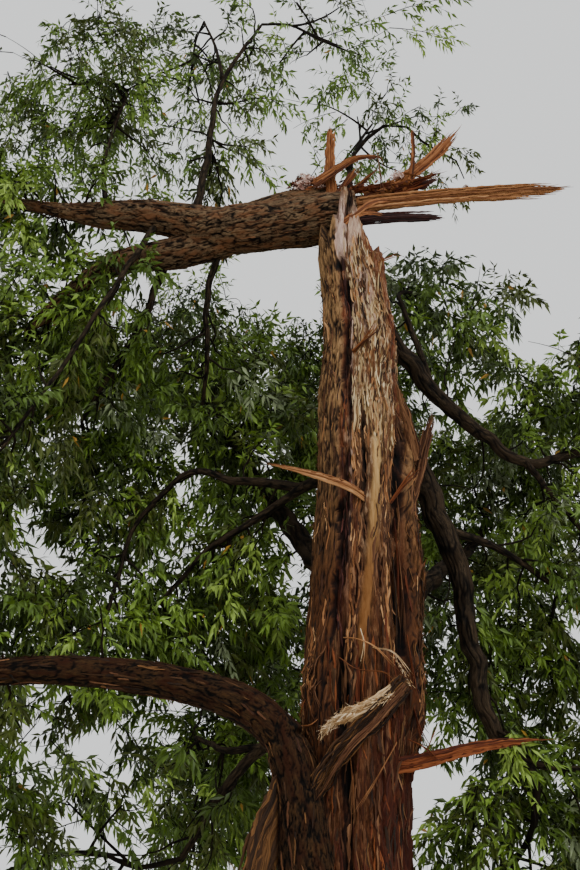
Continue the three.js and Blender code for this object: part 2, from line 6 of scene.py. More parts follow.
import bmesh
import bpy
import numpy as np
from mathutils.bvhtree import BVHTree
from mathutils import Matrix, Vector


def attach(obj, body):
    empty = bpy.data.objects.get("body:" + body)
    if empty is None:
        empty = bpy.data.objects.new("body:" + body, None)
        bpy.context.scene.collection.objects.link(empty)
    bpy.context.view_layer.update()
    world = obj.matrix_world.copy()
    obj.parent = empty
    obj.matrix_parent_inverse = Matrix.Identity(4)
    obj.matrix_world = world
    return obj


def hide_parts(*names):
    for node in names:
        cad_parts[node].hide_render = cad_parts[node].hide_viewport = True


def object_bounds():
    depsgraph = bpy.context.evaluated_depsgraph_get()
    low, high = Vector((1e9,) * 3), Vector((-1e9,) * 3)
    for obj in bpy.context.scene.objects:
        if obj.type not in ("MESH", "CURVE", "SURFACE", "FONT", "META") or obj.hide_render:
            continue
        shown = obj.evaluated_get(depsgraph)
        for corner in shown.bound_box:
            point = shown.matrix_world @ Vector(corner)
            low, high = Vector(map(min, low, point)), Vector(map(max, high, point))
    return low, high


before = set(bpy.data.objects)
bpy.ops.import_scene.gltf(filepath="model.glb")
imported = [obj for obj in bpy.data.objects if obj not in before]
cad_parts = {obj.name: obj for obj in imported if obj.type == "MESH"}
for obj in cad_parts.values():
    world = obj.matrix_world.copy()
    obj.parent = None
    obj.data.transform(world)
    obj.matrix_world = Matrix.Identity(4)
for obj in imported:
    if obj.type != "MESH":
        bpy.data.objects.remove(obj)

mm = 0.001
goldenAngle = math.pi * (3 - math.sqrt(5))
cadLow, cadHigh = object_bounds()
print("frame loaded:", len(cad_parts), "nodes")


# Camera, floor and light

stageLook = {
    "cameraPlace": (-0.56, -9.0, 1.6),   # eye level, nine metres from the trunk
    "pitchUp": 29,                       # degrees above level
    "focal": 1200,                       # pixels, on the photograph's long side
    "longSide": 870,
    "sensor": 36,
    "floorSize": 80,
    "floor": "#e4e1da",
    "floorRoughness": 0.9,
    "floorGloss": 0.5,
    "sky": "#f6f8f8",
    "skyStrength": 1.15,
    "sunStrength": 1.5,
    "sunSoftness": 24,                   # degrees across
    "sunTurn": (48, 8, 24),              # from high at the front, a little from the right
}


def linear(hexColour, alpha=1.0):
    values = [int(hexColour[i:i + 2], 16) / 255 for i in (1, 3, 5)]
    return [v / 12.92 if v <= 0.04045 else ((v + 0.055) / 1.055) ** 2.4 for v in values] + [alpha]


# Adds one shader node: inputs by name or number, each a value or a socket to link
def addNode(tree, kind, inputs=None, stops=None, **settings):
    node = tree.nodes.new("ShaderNode" + kind)
    for name, value in settings.items():
        setattr(node, name, value)
    for key, value in (inputs or {}).items():
        if isinstance(value, bpy.types.NodeSocket):
            tree.links.new(value, node.inputs[key])
        else:
            node.inputs[key].default_value = value
    if stops:
        elements = node.color_ramp.elements
        while len(elements) < len(stops):
            elements.new(0.5)
        for element, (place, colour) in zip(elements, stops):
            element.position = place
            element.color = linear(colour)
    return node


def newMaterial(name):
    material = bpy.data.materials.new(name)
    material.use_nodes = True
    material.node_tree.nodes.clear()
    return material, material.node_tree


# Fine noise at a place, drawn out along z where stretch is under 1
def addNoise(tree, place, scale, detail, stretch=1, rough=0.5, distortion=0):
    if stretch != 1:
        place = addNode(tree, "Mapping", {"Vector": place, "Scale": (1, 1, stretch)}).outputs[0]
    return addNode(tree, "TexNoise", {"Vector": place, "Scale": scale, "Detail": detail,
                                      "Roughness": rough, "Distortion": distortion}).outputs[0]


def addRamp(tree, value, stops):
    return addNode(tree, "ValToRGB", {"Fac": value}, stops=stops).outputs[0]


def addProduct(tree, first, second):
    return addNode(tree, "Math", {0: first, 1: second}, operation="MULTIPLY").outputs[0]


def mixColours(tree, share, first, second, blend="MIX"):
    mixed = addNode(tree, "Mix", {0: share, 6: first, 7: second}, data_type="RGBA", blend_type=blend)
    return mixed.outputs[2]


# Ends a material; bump is a height with its strength and its distance in metres
def endMaterial(tree, colour, roughness, gloss, bump=None):
    inputs = {"Base Color": colour, "Roughness": roughness, "Specular IOR Level": gloss}
    if bump:
        height, strength, distance = bump
        raised = addNode(tree, "Bump", {"Height": height, "Strength": strength, "Distance": distance})
        inputs["Normal"] = raised.outputs[0]
    shader = addNode(tree, "BsdfPrincipled", inputs)
    addNode(tree, "OutputMaterial", {"Surface": shader.outputs[0]})


def setStage():
    camera = bpy.data.objects.new("camera", bpy.data.cameras.new("camera"))
    camera.location = stageLook["cameraPlace"]
    camera.rotation_euler = (math.radians(90 + stageLook["pitchUp"]), 0, 0)
    camera.data.sensor_width = stageLook["sensor"]
    camera.data.lens = stageLook["sensor"] * stageLook["focal"] / stageLook["longSide"]
    bpy.context.scene.collection.objects.link(camera)
    bpy.context.scene.camera = camera

    bm = bmesh.new()
    bmesh.ops.create_grid(bm, x_segments=1, y_segments=1, size=stageLook["floorSize"] / 2)
    floor = newPiece("floor", bm)
    material, tree = newMaterial("matt paper floor")
    endMaterial(tree, linear(stageLook["floor"]), stageLook["floorRoughness"], stageLook["floorGloss"])
    floor.data.materials.append(material)

    sun = bpy.data.objects.new("softSun", bpy.data.lights.new("softSun", "SUN"))
    sun.data.energy = stageLook["sunStrength"]
    sun.data.angle = math.radians(stageLook["sunSoftness"])
    sun.rotation_euler = [math.radians(turn) for turn in stageLook["sunTurn"]]
    bpy.context.scene.collection.objects.link(sun)

    world = bpy.data.worlds.new("pale sky")
    world.use_nodes = True
    background = world.node_tree.nodes["Background"]
    background.inputs["Color"].default_value = linear(stageLook["sky"])
    background.inputs["Strength"].default_value = stageLook["skyStrength"]
    bpy.context.scene.world = world


# Making meshes

def newPiece(name, bm):
    mesh = bpy.data.meshes.new(name)
    bm.to_mesh(mesh)
    bm.free()
    piece = bpy.data.objects.new(name, mesh)
    bpy.context.scene.collection.objects.link(piece)
    return piece


# Gives a finished mesh its material and its body, and hides the nodes that it stands for
def dress(piece, material, nodes=(), smooth=True):
    piece.data.materials.append(material)
    piece.data.polygons.foreach_set("use_smooth", [smooth] * len(piece.data.polygons))
    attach(piece, "root")
    if nodes:
        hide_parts(*nodes)
    return piece


def setAttribute(mesh, name, values):
    kind, field = ("FLOAT", "value") if values.ndim == 1 else ("FLOAT_VECTOR", "vector")
    attribute = mesh.attributes.new(name, kind, "POINT")
    attribute.data.foreach_set(field, values.astype(np.float32).ravel())


def readPlaces(mesh):
    places = np.empty(len(mesh.vertices) * 3)
    mesh.vertices.foreach_get("co", places)
    return places.reshape(-1, 3)


# Smooth random values from -1 to 1, on a lattice of unit cells
def lumps(places, seed=0):
    cell = np.floor(places).astype(np.int64)
    part = places - cell
    ease = part * part * (3 - 2 * part)
    total = np.zeros(len(places))
    for corner in np.ndindex(2, 2, 2):
        at = cell + corner
        code = (at[:, 0] * 73856093) ^ (at[:, 1] * 19349663) ^ (at[:, 2] * 83492791) ^ (seed * 40503 + 977)
        code = ((code ^ (code >> 13)) * 1274126177) & 0x7FFFFFFF
        code = ((code ^ (code >> 15)) * 668265263) & 0xFFFFFF
        weight = np.prod(np.where(corner, ease, 1 - ease), axis=1)
        total += weight * (code / 0x7FFFFF - 1)
    return total


# A tube with closed ends, one unit high and one in radius, its seam merged
def unitTube(name, sides, rings):
    bm = bmesh.new()
    bmesh.ops.create_grid(bm, x_segments=sides, y_segments=rings, size=0.5)
    for vert in bm.verts:
        turn = (vert.co.x + 0.5) * 2 * math.pi
        vert.co = (math.cos(turn), math.sin(turn), vert.co.y + 0.5)
    bmesh.ops.remove_doubles(bm, verts=bm.verts, dist=1e-5)
    rims = [edge for edge in bm.edges if edge.is_boundary]
    caps = bmesh.ops.holes_fill(bm, edges=rims, sides=0)["faces"]
    bmesh.ops.poke(bm, faces=caps)
    bmesh.ops.recalc_face_normals(bm, faces=bm.faces)
    return newPiece(name, bm)


# A smooth course through a few points given in mm, as in the part's source, with a carried frame
def courseThrough(path, perSpan=24):
    knots = [np.array(p, float) * mm for p in path]
    knots = [2 * knots[0] - knots[1], *knots, 2 * knots[-1] - knots[-2]]
    share = np.linspace(0, 1, perSpan, endpoint=False)[:, None]
    spans = []
    for a, b, c, d in zip(knots, knots[1:], knots[2:], knots[3:]):
        ab, bc, cd = [max(np.linalg.norm(q - p) ** 0.5, 1e-4) for p, q in ((a, b), (b, c), (c, d))]
        leave = ((b - a) / ab - (c - a) / (ab + bc) + (c - b) / bc) * bc
        arrive = ((c - b) / bc - (d - b) / (bc + cd) + (d - c) / cd) * bc
        spans.append(b * (2 * share**3 - 3 * share**2 + 1) + leave * (share**3 - 2 * share**2 + share)
                     + c * (3 * share**2 - 2 * share**3) + arrive * (share**3 - share**2))
    return carryFrame(np.vstack([*spans, knots[-2]]))


def carryFrame(points):
    lengths = np.concatenate([[0], np.cumsum(np.linalg.norm(np.diff(points, axis=0), axis=1))])
    along = np.gradient(points, lengths, axis=0)
    along /= np.linalg.norm(along, axis=1)[:, None]
    start = np.array((1.0, 0, 0)) if abs(along[0][2]) > 0.8 else np.array((0, 0, 1.0))
    side = [unit(np.cross(along[0], start))]
    for heading in along[1:]:
        side.append(unit(side[-1] - heading * side[-1].dot(heading)))
    side = np.array(side)
    return {"points": points, "share": lengths / lengths[-1], "length": lengths[-1],
            "along": along, "side": side, "up": np.cross(along, side)}


def unit(vector):
    return vector / max(np.linalg.norm(vector), 1e-9)


# Places, sides, ups or headings of a course at the given shares of its length
def follow(course, shares, what="points"):
    return np.stack([np.interp(shares, course["share"], course[what][:, i]) for i in range(3)], axis=-1)


# Relief of stringy bark, from -1 to 1: broad plates parted by narrow furrows, with flakes and fibres
def barkRelief(rolled, plate, seed):
    bend = rolled + 0.5 * plate * lumps(rolled / (plate * 2), seed + 3)[:, None]
    furrows = np.abs(lumps(bend / (plate, plate, plate * 6.0), seed))
    cracks = np.abs(lumps(bend / (plate * 1.6, plate * 1.6, plate * 2.2), seed + 4))
    flakes = lumps(rolled / (plate * 0.34, plate * 0.34, plate * 1.7), seed + 1)
    swells = lumps(rolled / (plate * 3, plate * 3, plate * 8), seed + 2)
    plates = np.clip(furrows * 3.4, 0, 1) ** 0.7 * (0.84 + 0.16 * np.clip(cracks * 5, 0, 1))
    return 1.3 * plates - 0.85 + 0.38 * flakes + 0.3 * swells


# Limbs, the same as in the part's source, in mm: radius at the root and at the tip, and the path
limbs = {
    "toppled_top": (250, 228, [(70, 140, 9090), (-220, 140, 9060), (-800, 120, 8950), (-1330, 110, 8880)]),
    "toppled_leader": (190, 78, [(-1230, 110, 8900), (-1910, 100, 9050), (-2490, 100, 9080),
                                 (-3420, 110, 9270)]),
    "toppled_limb": (175, 62, [(-1180, 190, 8860), (-1600, 220, 8720), (-2290, 300, 8600),
                               (-3010, 400, 7940)]),
    "branch_upright": (62, 22, [(-1500, 120, 9000), (-1390, 150, 9810), (-1280, 200, 10900),
                                (-860, 220, 11810)]),
    "branch_upright_fork": (30, 16, [(-1270, 200, 10980), (-1340, 230, 11390), (-1500, 260, 11900)]),
    "branch_upright_left": (46, 18, [(-2330, 110, 9100), (-2410, 150, 9750), (-2250, 220, 10840)]),
    "branch_hanging_left": (62, 26, [(-1760, 280, 8680), (-1910, 420, 8190), (-2120, 540, 7800),
                                     (-2490, 640, 7080)]),
    "branch_hanging_middle": (52, 22, [(-1250, 240, 8750), (-1350, 360, 8250), (-1350, 620, 7780),
                                       (-1420, 1100, 7300)]),
    "branch_hanging_front": (46, 20, [(-1830, 80, 8960), (-2220, -150, 7890), (-2540, -250, 7090),
                                      (-2930, -350, 6250)]),
    "bough_lower_left_stem": (225, 155, [(-260, -130, 2380), (-440, -270, 2960), (-500, -335, 3540),
                                         (-600, -335, 3930)]),
    "bough_lower_left": (150, 82, [(-565, -335, 3860), (-880, -305, 4140), (-1610, -250, 4360),
                                   (-2600, -200, 4440), (-3420, -170, 4340)]),
    "bough_right_upper": (120, 40, [(180, 200, 8060), (480, 480, 7760), (1130, 780, 7110),
                                    (1630, 900, 6800), (2200, 1010, 6960)]),
    "bough_right_upper_fork": (48, 26, [(1630, 900, 6800), (1880, 950, 6430), (2190, 1000, 6020)]),
    "bough_right_riser": (52, 26, [(790, 680, 7430), (620, 660, 8100), (520, 720, 8560),
                                   (690, 1100, 8880)]),
    "bough_right_lower": (160, 66, [(200, 150, 7260), (600, 580, 6550), (900, 760, 5650),
                                    (1020, 850, 4790), (1160, 900, 4250), (1460, 960, 3900)]),
    "bough_right_lower_fork": (62, 30, [(800, 700, 6020), (1220, 820, 5930), (1860, 1120, 5620)]),
    "bough_right_foot": (55, 30, [(1180, 890, 4230), (1500, 950, 4010), (2250, 1020, 3980)]),
    "bough_left_middle": (80, 34, [(-100, 180, 6300), (-430, 480, 6340), (-1060, 700, 6510),
                                   (-1450, 790, 6640), (-1830, 850, 6330)]),
    "bough_left_middle_drop": (34, 20, [(-1810, 848, 6350), (-1980, 890, 6110), (-2110, 920, 5530),
                                        (-2210, 950, 5070)]),
    "bough_left_middle_fork": (58, 26, [(-420, 480, 6340), (-820, 620, 6110), (-1310, 760, 5820),
                                        (-1700, 900, 5400)]),
    "bough_left_low": (95, 36, [(-120, 160, 4040), (-700, 480, 4060), (-990, 620, 3850),
                                (-1420, 820, 3240)]),
    "bough_left_low_riser": (50, 26, [(-760, 500, 4040), (-1050, 700, 4070), (-1380, 1280, 4330)]),
    "bough_rear_top": (150, 55, [(0, 120, 6300), (80, 1000, 7600), (150, 1700, 9200),
                                 (150, 2000, 11350)]),
    "bough_rear_middle": (110, 46, [(40, 120, 5600), (-60, 1100, 6300), (-120, 2000, 7100),
                                    (-60, 2600, 8000)]),
    "bough_rear_left": (140, 52, [(-60, 120, 5150), (-500, 1000, 6100), (-1000, 1800, 7250),
                                  (-1420, 2350, 8350)]),
    "bough_rear_right": (140, 52, [(20, 120, 4900), (560, 1000, 5550), (1000, 1800, 6150),
                                   (1420, 2450, 6720)]),
    "bough_rear_low": (120, 48, [(-60, 120, 3500), (-120, 1000, 3950), (-60, 1750, 4400),
                                 (-20, 2450, 4850)]),
}
plainCollars = ("toppled_top", "bough_lower_left", "bough_left_middle_drop")
slimCollars = ("toppled_leader", "toppled_limb")
limbLook = {
    "collarSwell": 0.35,
    "slimCollar": 0.3,       # share of that swell on the slim collars
    "collarLength": 1.6,     # of the limb's radius
    "sideWidth": 0.012,      # metres of bark to each face around
    "ringLength": 0.016,
    "rearRing": 1.7,         # rings of the rear boughs are longer by this
    "rearSides": 48,
    "plate": 0.034,          # width of one plate of bark
    "relief": 0.08,          # of the radius
    "mostRelief": 0.013,
    "slim": 0.82,            # of the solid limb, the bark's relief included
    "thinSlim": 0.66,        # the same for limbs with a root under the next radius, in mm
    "thinBelow": 100,
    "slender": {"bough_rear_top": 0.55},
    "leaderThinning": 0.45,  # the leader goes on as a thin branch past its middle
    "wander": 0.42,          # of the radius, how far the limb strays from its smooth course
    "mostWander": 0.028,
    "tipRounding": 0.02,     # of the length
}
limbCourses = {name: courseThrough(path) for name, (_, _, path) in limbs.items()}


def limbRadius(name, shares):
    root, tip, _ = limbs[name]
    slim = limbLook["slimCollar"] if name in slimCollars else 1
    swell = 0 if name in plainCollars else limbLook["collarSwell"] * slim
    taper = (root + (tip - root) * shares) * mm
    reach = limbLook["collarLength"] * root * mm
    return taper * (1 + swell * np.exp(-shares * limbCourses[name]["length"] / reach))


def slimShare(name):
    usual = limbLook["thinSlim"] if limbs[name][0] < limbLook["thinBelow"] else limbLook["slim"]
    return limbLook["slender"].get(name, usual)


def fusedRadius(name, shares):
    thinning = limbLook["leaderThinning"] if name == "toppled_leader" else 0
    return limbRadius(name, shares) * (1 - thinning * np.clip((shares - 0.5) / 0.28, 0, 1))


# A bark-covered tube along a course
def barkTube(name, course, radiusAt, seed):
    thickest = radiusAt(np.zeros(1))[0]
    sides = int(np.clip(2 * math.pi * thickest / limbLook["sideWidth"], 18, 110))
    ringLength = limbLook["ringLength"]
    if "rear" in name:
        sides, ringLength = min(sides, limbLook["rearSides"]), ringLength * limbLook["rearRing"]
    rings = int(np.clip(course["length"] / ringLength, 24, 260))
    piece = unitTube(name, sides, rings)
    flat = readPlaces(piece.data)
    turn, share = np.arctan2(flat[:, 1], flat[:, 0]), flat[:, 2]
    radius = radiusAt(share)
    isHub = np.hypot(flat[:, 0], flat[:, 1]) < 0.5
    end = limbLook["tipRounding"]
    rounding = np.sqrt(np.clip(1 - ((share - 1 + end) / end).clip(0) ** 2, 0.04, 1))
    rolled = np.stack([radius * np.cos(turn), radius * np.sin(turn), share * course["length"]], axis=1)
    relief = barkRelief(rolled, limbLook["plate"] * min(1, 0.35 + thickest * 5), seed)
    depth = np.minimum(limbLook["relief"] * radius, limbLook["mostRelief"])
    skin = np.where(isHub, 0, radius * rounding + relief * depth)
    stray = np.minimum(limbLook["wander"] * radius, limbLook["mostWander"])[:, None]
    way = np.stack([share * course["length"] / 0.17, np.zeros_like(share), np.zeros_like(share)], axis=1)
    settle = np.minimum(1, np.minimum(share, 1 - share) * 8)[:, None]
    places = follow(course, share)
    sideways, upward = follow(course, share, "side"), follow(course, share, "up")
    places = places + sideways * lumps(way, seed + 5)[:, None] * stray * settle
    places = places + upward * lumps(way, seed + 6)[:, None] * stray * settle
    places = places + (sideways * np.cos(turn)[:, None] + upward * np.sin(turn)[:, None]) * skin[:, None]
    piece.data.vertices.foreach_set("co", places.ravel())
    setAttribute(piece.data, "rolled", rolled)
    setAttribute(piece.data, "height", np.clip(0.5 + 0.5 * relief, 0, 1))
    return piece


# Several limbs fused into one skin that flows from one into the next, then given its bark
def fusedBark(name, names, look, extra=()):
    seed = look["seed"]
    tubes = [(limbCourses[limb], lambda s, n=limb: fusedRadius(n, s)) for limb in names] + list(extra)
    bm = bmesh.new()
    for i, (course, radiusAt) in enumerate(tubes):
        piece = unitTube(name + "_core", look["sides"], look["rings"])
        flat = readPlaces(piece.data)
        isHub = (np.hypot(flat[:, 0], flat[:, 1]) < 0.5)[:, None]
        share = flat[:, 2]
        out = follow(course, share, "side") * flat[:, :1] + follow(course, share, "up") * flat[:, 1:2]
        end = look["endRounding"]
        rounding = np.sqrt(np.clip(1 - ((share - 1 + end) / end).clip(0) ** 2, 0.02, 1))
        way = np.stack([share * course["length"] / 0.25, flat[:, 0], flat[:, 1]], 1)
        swollen = 1 + look["swell"] * lumps(way, seed + i)
        skin = (radiusAt(share) * rounding * swollen)[:, None]
        places = follow(course, share) + np.where(isHub, 0, out * skin)
        piece.data.vertices.foreach_set("co", places.ravel())
        bm.from_mesh(piece.data)
        bpy.data.objects.remove(piece)
    core = newPiece(name, bm)
    remesh = core.modifiers.new("fuse", "REMESH")
    remesh.mode = "VOXEL"
    remesh.voxel_size = look["voxel"]
    fused = bpy.data.meshes.new_from_object(core.evaluated_get(bpy.context.evaluated_depsgraph_get()))
    core.modifiers.clear()
    bm = bmesh.new()
    bm.from_mesh(fused)
    for _ in range(look["smoothing"]):
        bmesh.ops.smooth_vert(bm, verts=bm.verts, factor=0.5,
                              use_axis_x=True, use_axis_y=True, use_axis_z=True)
    bm.to_mesh(core.data)
    bm.free()
    bpy.data.meshes.remove(fused)

    places = readPlaces(core.data)
    nearest, radii = np.full(len(places), np.inf), np.zeros(len(places))
    rolled = np.zeros((len(places), 3))
    for course, radiusAt in tubes:
        shares = np.linspace(0, 1, 90)
        points, radius = follow(course, shares), radiusAt(shares)
        apart = np.linalg.norm(places[:, None] - points, axis=2) / radius
        pick = apart.argmin(axis=1)
        apart = apart[np.arange(len(places)), pick]
        offset = places - points[pick]
        on = shares[pick] + (offset * follow(course, shares, "along")[pick]).sum(1) / course["length"]
        turn = np.arctan2((offset * follow(course, on, "up")).sum(1),
                          (offset * follow(course, on, "side")).sum(1))
        around = np.stack([radius[pick] * np.cos(turn), radius[pick] * np.sin(turn),
                           on * course["length"]], 1)
        closer = apart < nearest
        nearest = np.where(closer, apart, nearest)
        rolled = np.where(closer[:, None], around, rolled)
        radii = np.where(closer, radius[pick], radii)
    normals = np.empty(len(places) * 3)
    core.data.vertex_normals.foreach_get("vector", normals)
    relief = barkRelief(rolled, look["plate"], seed)
    depth = look["depth"] * np.minimum(limbLook["relief"] * radii, limbLook["mostRelief"])
    places = places + normals.reshape(-1, 3) * (relief * depth)[:, None]
    core.data.vertices.foreach_set("co", places.ravel())
    setAttribute(core.data, "rolled", rolled)
    setAttribute(core.data, "height", np.clip(0.5 + 0.5 * relief, 0, 1))
    return core


# Stringy bark: fibrous and matt, with painted shade that makes the furrows much darker than the ridges
def stringyBark(name, look):
    material, tree = newMaterial(name)
    rolled = addNode(tree, "Attribute", attribute_name="rolled").outputs["Vector"]
    height = addNode(tree, "Attribute", attribute_name="height").outputs["Fac"]
    # fibres about 6 mm wide and a few times as long
    fibres = addNoise(tree, rolled, 130, 6, stretch=0.22, rough=0.65)
    patches = addNoise(tree, rolled, 16, 5, stretch=0.4)
    # the fibres' colour also darkens where the relief is low, as painted shade in the furrows
    colour = addRamp(tree, addProduct(tree, fibres, height), look["fibres"])
    patchShare = addRamp(tree, patches, [(0.45, "#000000"), (0.7, "#ffffff")])
    worn = mixColours(tree, patchShare, colour, linear(look["worn"]))
    # painted shade: low places in the relief are multiplied darker
    furrowShade = addRamp(tree, height, [(0.12, "#5c5c5c"), (0.55, "#ffffff")])
    shaded = mixColours(tree, 1.0, worn, furrowShade, "MULTIPLY")
    endMaterial(tree, shaded, 0.9, 0.12, (fibres, 0.9, 0.006))
    return material


# the dark and bough colours are near-black: painted shade for limbs that stand in shadow
barkLooks = {
    "dark": {"fibres": [(0.05, "#0a0705"), (0.3, "#1c160f"), (0.6, "#4d3e2d")], "worn": "#2e2318"},
    "log": {"fibres": [(0.05, "#140d08"), (0.22, "#2c2015"), (0.5, "#765f46")], "worn": "#66432b"},
    "bough": {"fibres": [(0.05, "#050302"), (0.22, "#140c06"), (0.5, "#3f2a16")], "worn": "#2b1408"},
}
fusedLooks = {
    "toppled": {"sides": 48, "rings": 90, "endRounding": 0.16, "voxel": 0.0105, "smoothing": 8,
                "plate": 0.019, "depth": 0.75, "swell": 0.06, "seed": 401},
    "lowerLeft": {"sides": 40, "rings": 90, "endRounding": 0.1, "voxel": 0.0095, "smoothing": 8,
                  "plate": 0.019, "depth": 0.85, "swell": 0.06, "seed": 431},
}


def makeLimbs():
    darkBark = stringyBark("shaded stringy bark", barkLooks["dark"])
    logBark = stringyBark("grey-brown stringy bark", barkLooks["log"])
    boughBark = stringyBark("dark red-brown stringy bark", barkLooks["bough"])
    # the second stem that lies along the log, one with it in the source
    ridge = courseThrough([(-1300, 250, 9050), (-960, 290, 9230), (-480, 280, 9400), (-60, 260, 9425)])
    ridgeTube = (ridge, lambda s: (125 - 15 * s) * mm)
    toppled = ["toppled_top", "toppled_leader", "toppled_limb"]
    lowerLeft = ["bough_lower_left_stem", "bough_lower_left"]
    log = dress(fusedBark("toppled_bark", toppled, fusedLooks["toppled"], [ridgeTube]),
                logBark, toppled)
    bough = dress(fusedBark("lower_left_bark", lowerLeft, fusedLooks["lowerLeft"]),
                  boughBark, lowerLeft)
    for seed, name in enumerate(limbs):
        if name not in toppled + lowerLeft:
            piece = barkTube(name + "_bark", limbCourses[name],
                             lambda s, n=name: limbRadius(n, s) * slimShare(n), seed * 11)
            dress(piece, darkBark, [name])
    print("limbs made:", len(limbs))
    return log, bough


# Trunk

# its core by height, in mm: where its middle lies in x, and its radius
trunkCore = np.array([(0, 0, 520), (900, -20, 470), (2000, -55, 425), (3100, -92, 380), (4300, -50, 385),
                      (5100, -15, 350), (6000, 35, 330), (7000, 50, 325), (7500, 75, 295),
                      (8000, 45, 268), (8500, 0, 262), (9300, 0, 205)]) * mm

trunkLook = {
    "sides": 280,
    "rings": 340,
    "frontSides": 0.74,      # share of the faces on the torn front
    "frontSpread": 112,      # degrees to each side that are the front
    "footRings": 0.1,        # share of the rings up to the foot's height
    "footHeight": 2.0,
    "tornRings": 0.93,       # above this share the rings run inwards over the torn top
    "bark": 0.036,           # thickness of the bark
    "slab": 0.125,
    "groove": 0.05,
    "barkRelief": 0.015,
    "woodLayer": 0.016,      # one step of torn layers
    "woodRidge": 0.007,
    "woodFibre": 0.0055,
    "woodCrack": 0.018,
    "woodFlake": 0.006,
    "breakHeight": 8.44,
    "tipHeight": 9.15,
    "hingeHeight": 8.88,
    "flareReach": 0.26,
    "flareHeight": 0.62,
    "flareLobes": 6,
}
# bearings in degrees from the torn front, positive towards +X: from, to, low, high in metres
barkPatches = [(-100, -34, 0, 9.3), (100, 260, 0, 8.3), (-34, 100, 0, 2.5)]
slabPatch = (60, 112, 3.9, 6.5)
# with how deep each groove is, against the usual depth
grooves = [((-37, -19, 4.6, 8.1), 0.85), ((-27, -16, 3.9, 4.7), 1.7), ((52, 60, 4.2, 7.4), 0.45),
           ((-12, -7, 2.3, 3.6), 0.8), ((15, 19, 2.3, 3.5), 0.7), ((24, 27, 3.7, 5.4), 0.5)]
# swells and hollows: bearing and half-width in degrees, height and half-height, and how far out
bulges = [(-50, 16, 4.3, 0.36, 0.055), (48, 26, 8.3, 0.3, 0.03), (20, 14, 7.55, 0.16, 0.022),
          (-29, 9, 8.24, 0.07, -0.075), (16, 5, 7.0, 0.12, -0.045), (4, 4, 6.2, 0.09, -0.03),
          (86, 20, 5.25, 0.32, 0.055)]
redPatches = [(52, 80, 3.6, 7.9), (20, 100, 2.3, 4.0), (-12, -6, 5.0, 6.6), (25, 90, 8.0, 8.7),
              (-40, -21, 4.6, 8.1)]


def corePlace(heights):
    return [np.interp(heights, trunkCore[:, 0], trunkCore[:, i]) for i in (1, 2)]


# Share from 0 to 1 by which places lie in a patch of bearings and heights
def inPatch(bearing, height, patch, softTurn, softHeight):
    start, stop, low, high = patch
    middle, half = (start + stop) / 2, (stop - start) / 2
    turned = np.abs((bearing - middle + 180) % 360 - 180)
    across = np.clip((half - turned) / softTurn + 0.5, 0, 1)
    along = np.clip(np.minimum(height - low, high - height) / softHeight + 0.5, 0, 1)
    return across * (along if low > 0 else np.clip((high - height) / softHeight + 0.5, 0, 1))


# The torn rim: a tall plate at the front, the hinge at the back, teeth between them
def rimHeight(bearing):
    look = trunkLook
    plate = np.clip(1 - np.abs(bearing + 8) / 48, 0, 1)
    hinge = np.clip((np.abs(bearing) - np.where(bearing < 0, 54, 105)) / 37, 0, 1)
    turned = np.stack([np.cos(np.radians(bearing)), np.sin(np.radians(bearing)), 0 * bearing], axis=1)
    teeth = np.abs(lumps(turned * 9, 71)) * 0.16 + np.abs(lumps(turned * 24, 72)) * 0.09
    plateRise = (look["tipHeight"] - look["breakHeight"]) * np.clip(plate * 1.35, 0, 1) ** 1.2
    return (look["breakHeight"] + plateRise + (look["hingeHeight"] - look["breakHeight"]) * hinge
            + (teeth - 0.1) * (1 - 0.8 * np.clip(plate * 3, 0, 1)))


# Bearing, height and way inwards of each place on the trunk's skin, finer on the torn front
def trunkGrid(flat):
    look = trunkLook
    part = (np.arctan2(flat[:, 1], flat[:, 0]) / (2 * math.pi)) % 1
    edge = (1 - look["frontSides"]) / 2
    spread = look["frontSpread"]
    bearing = np.interp(part, [0, edge, 1 - edge, 1], [-180, -spread, spread, 180])
    rise = np.interp(flat[:, 2], [0, look["footRings"], look["tornRings"]], [0, 1, 2])
    height = np.where(rise < 1, rise * look["footHeight"],
                      look["footHeight"] + (rise - 1) * (rimHeight(bearing) - look["footHeight"]))
    inward = np.clip((flat[:, 2] - look["tornRings"]) / (1 - look["tornRings"]), 0, 1)
    return bearing, height, inward


# Relief of the torn wood, of its ridges alone and of the bark's plates:
# shredded wavy fibres above, smoother split faces below, in torn steps
def trunkRelief(rolled, height):
    look = trunkLook
    wavy = rolled + lumps(rolled / (0.09, 0.09, 0.22), 16)[:, None] * (0.018, 0.018, 0)
    shredded = np.clip((height - 5.2) / 1.6, 0.25, 1)
    broad, narrow = lumps(wavy / (0.075, 0.075, 0.6), 11), lumps(wavy / (0.03, 0.03, 0.16), 12)
    layers = np.round(2.6 * (broad + 0.5 * narrow))
    ridges = 1 - 2 * np.abs(lumps(wavy / (0.024, 0.024, 0.26), 13))
    cracks = np.clip(1 - np.abs(lumps(wavy / (0.05, 0.05, 0.5), 15)) * 8, 0, 1)
    fibres = lumps(wavy / (0.012, 0.012, 0.09), 14)
    flakes = barkRelief(wavy / (1, 1, 2.2), 0.016, 17)
    wood = (look["woodLayer"] * layers + look["woodRidge"] * ridges + look["woodFibre"] * fibres
            - look["woodCrack"] * cracks + look["woodFlake"] * flakes * shredded)
    plates = (0.7 * barkRelief(wavy / (1, 1, 1.8), 0.017, 21) + 0.3 * barkRelief(rolled, 0.05, 25)
              + 0.25 * fibres)
    return wood, ridges, plates


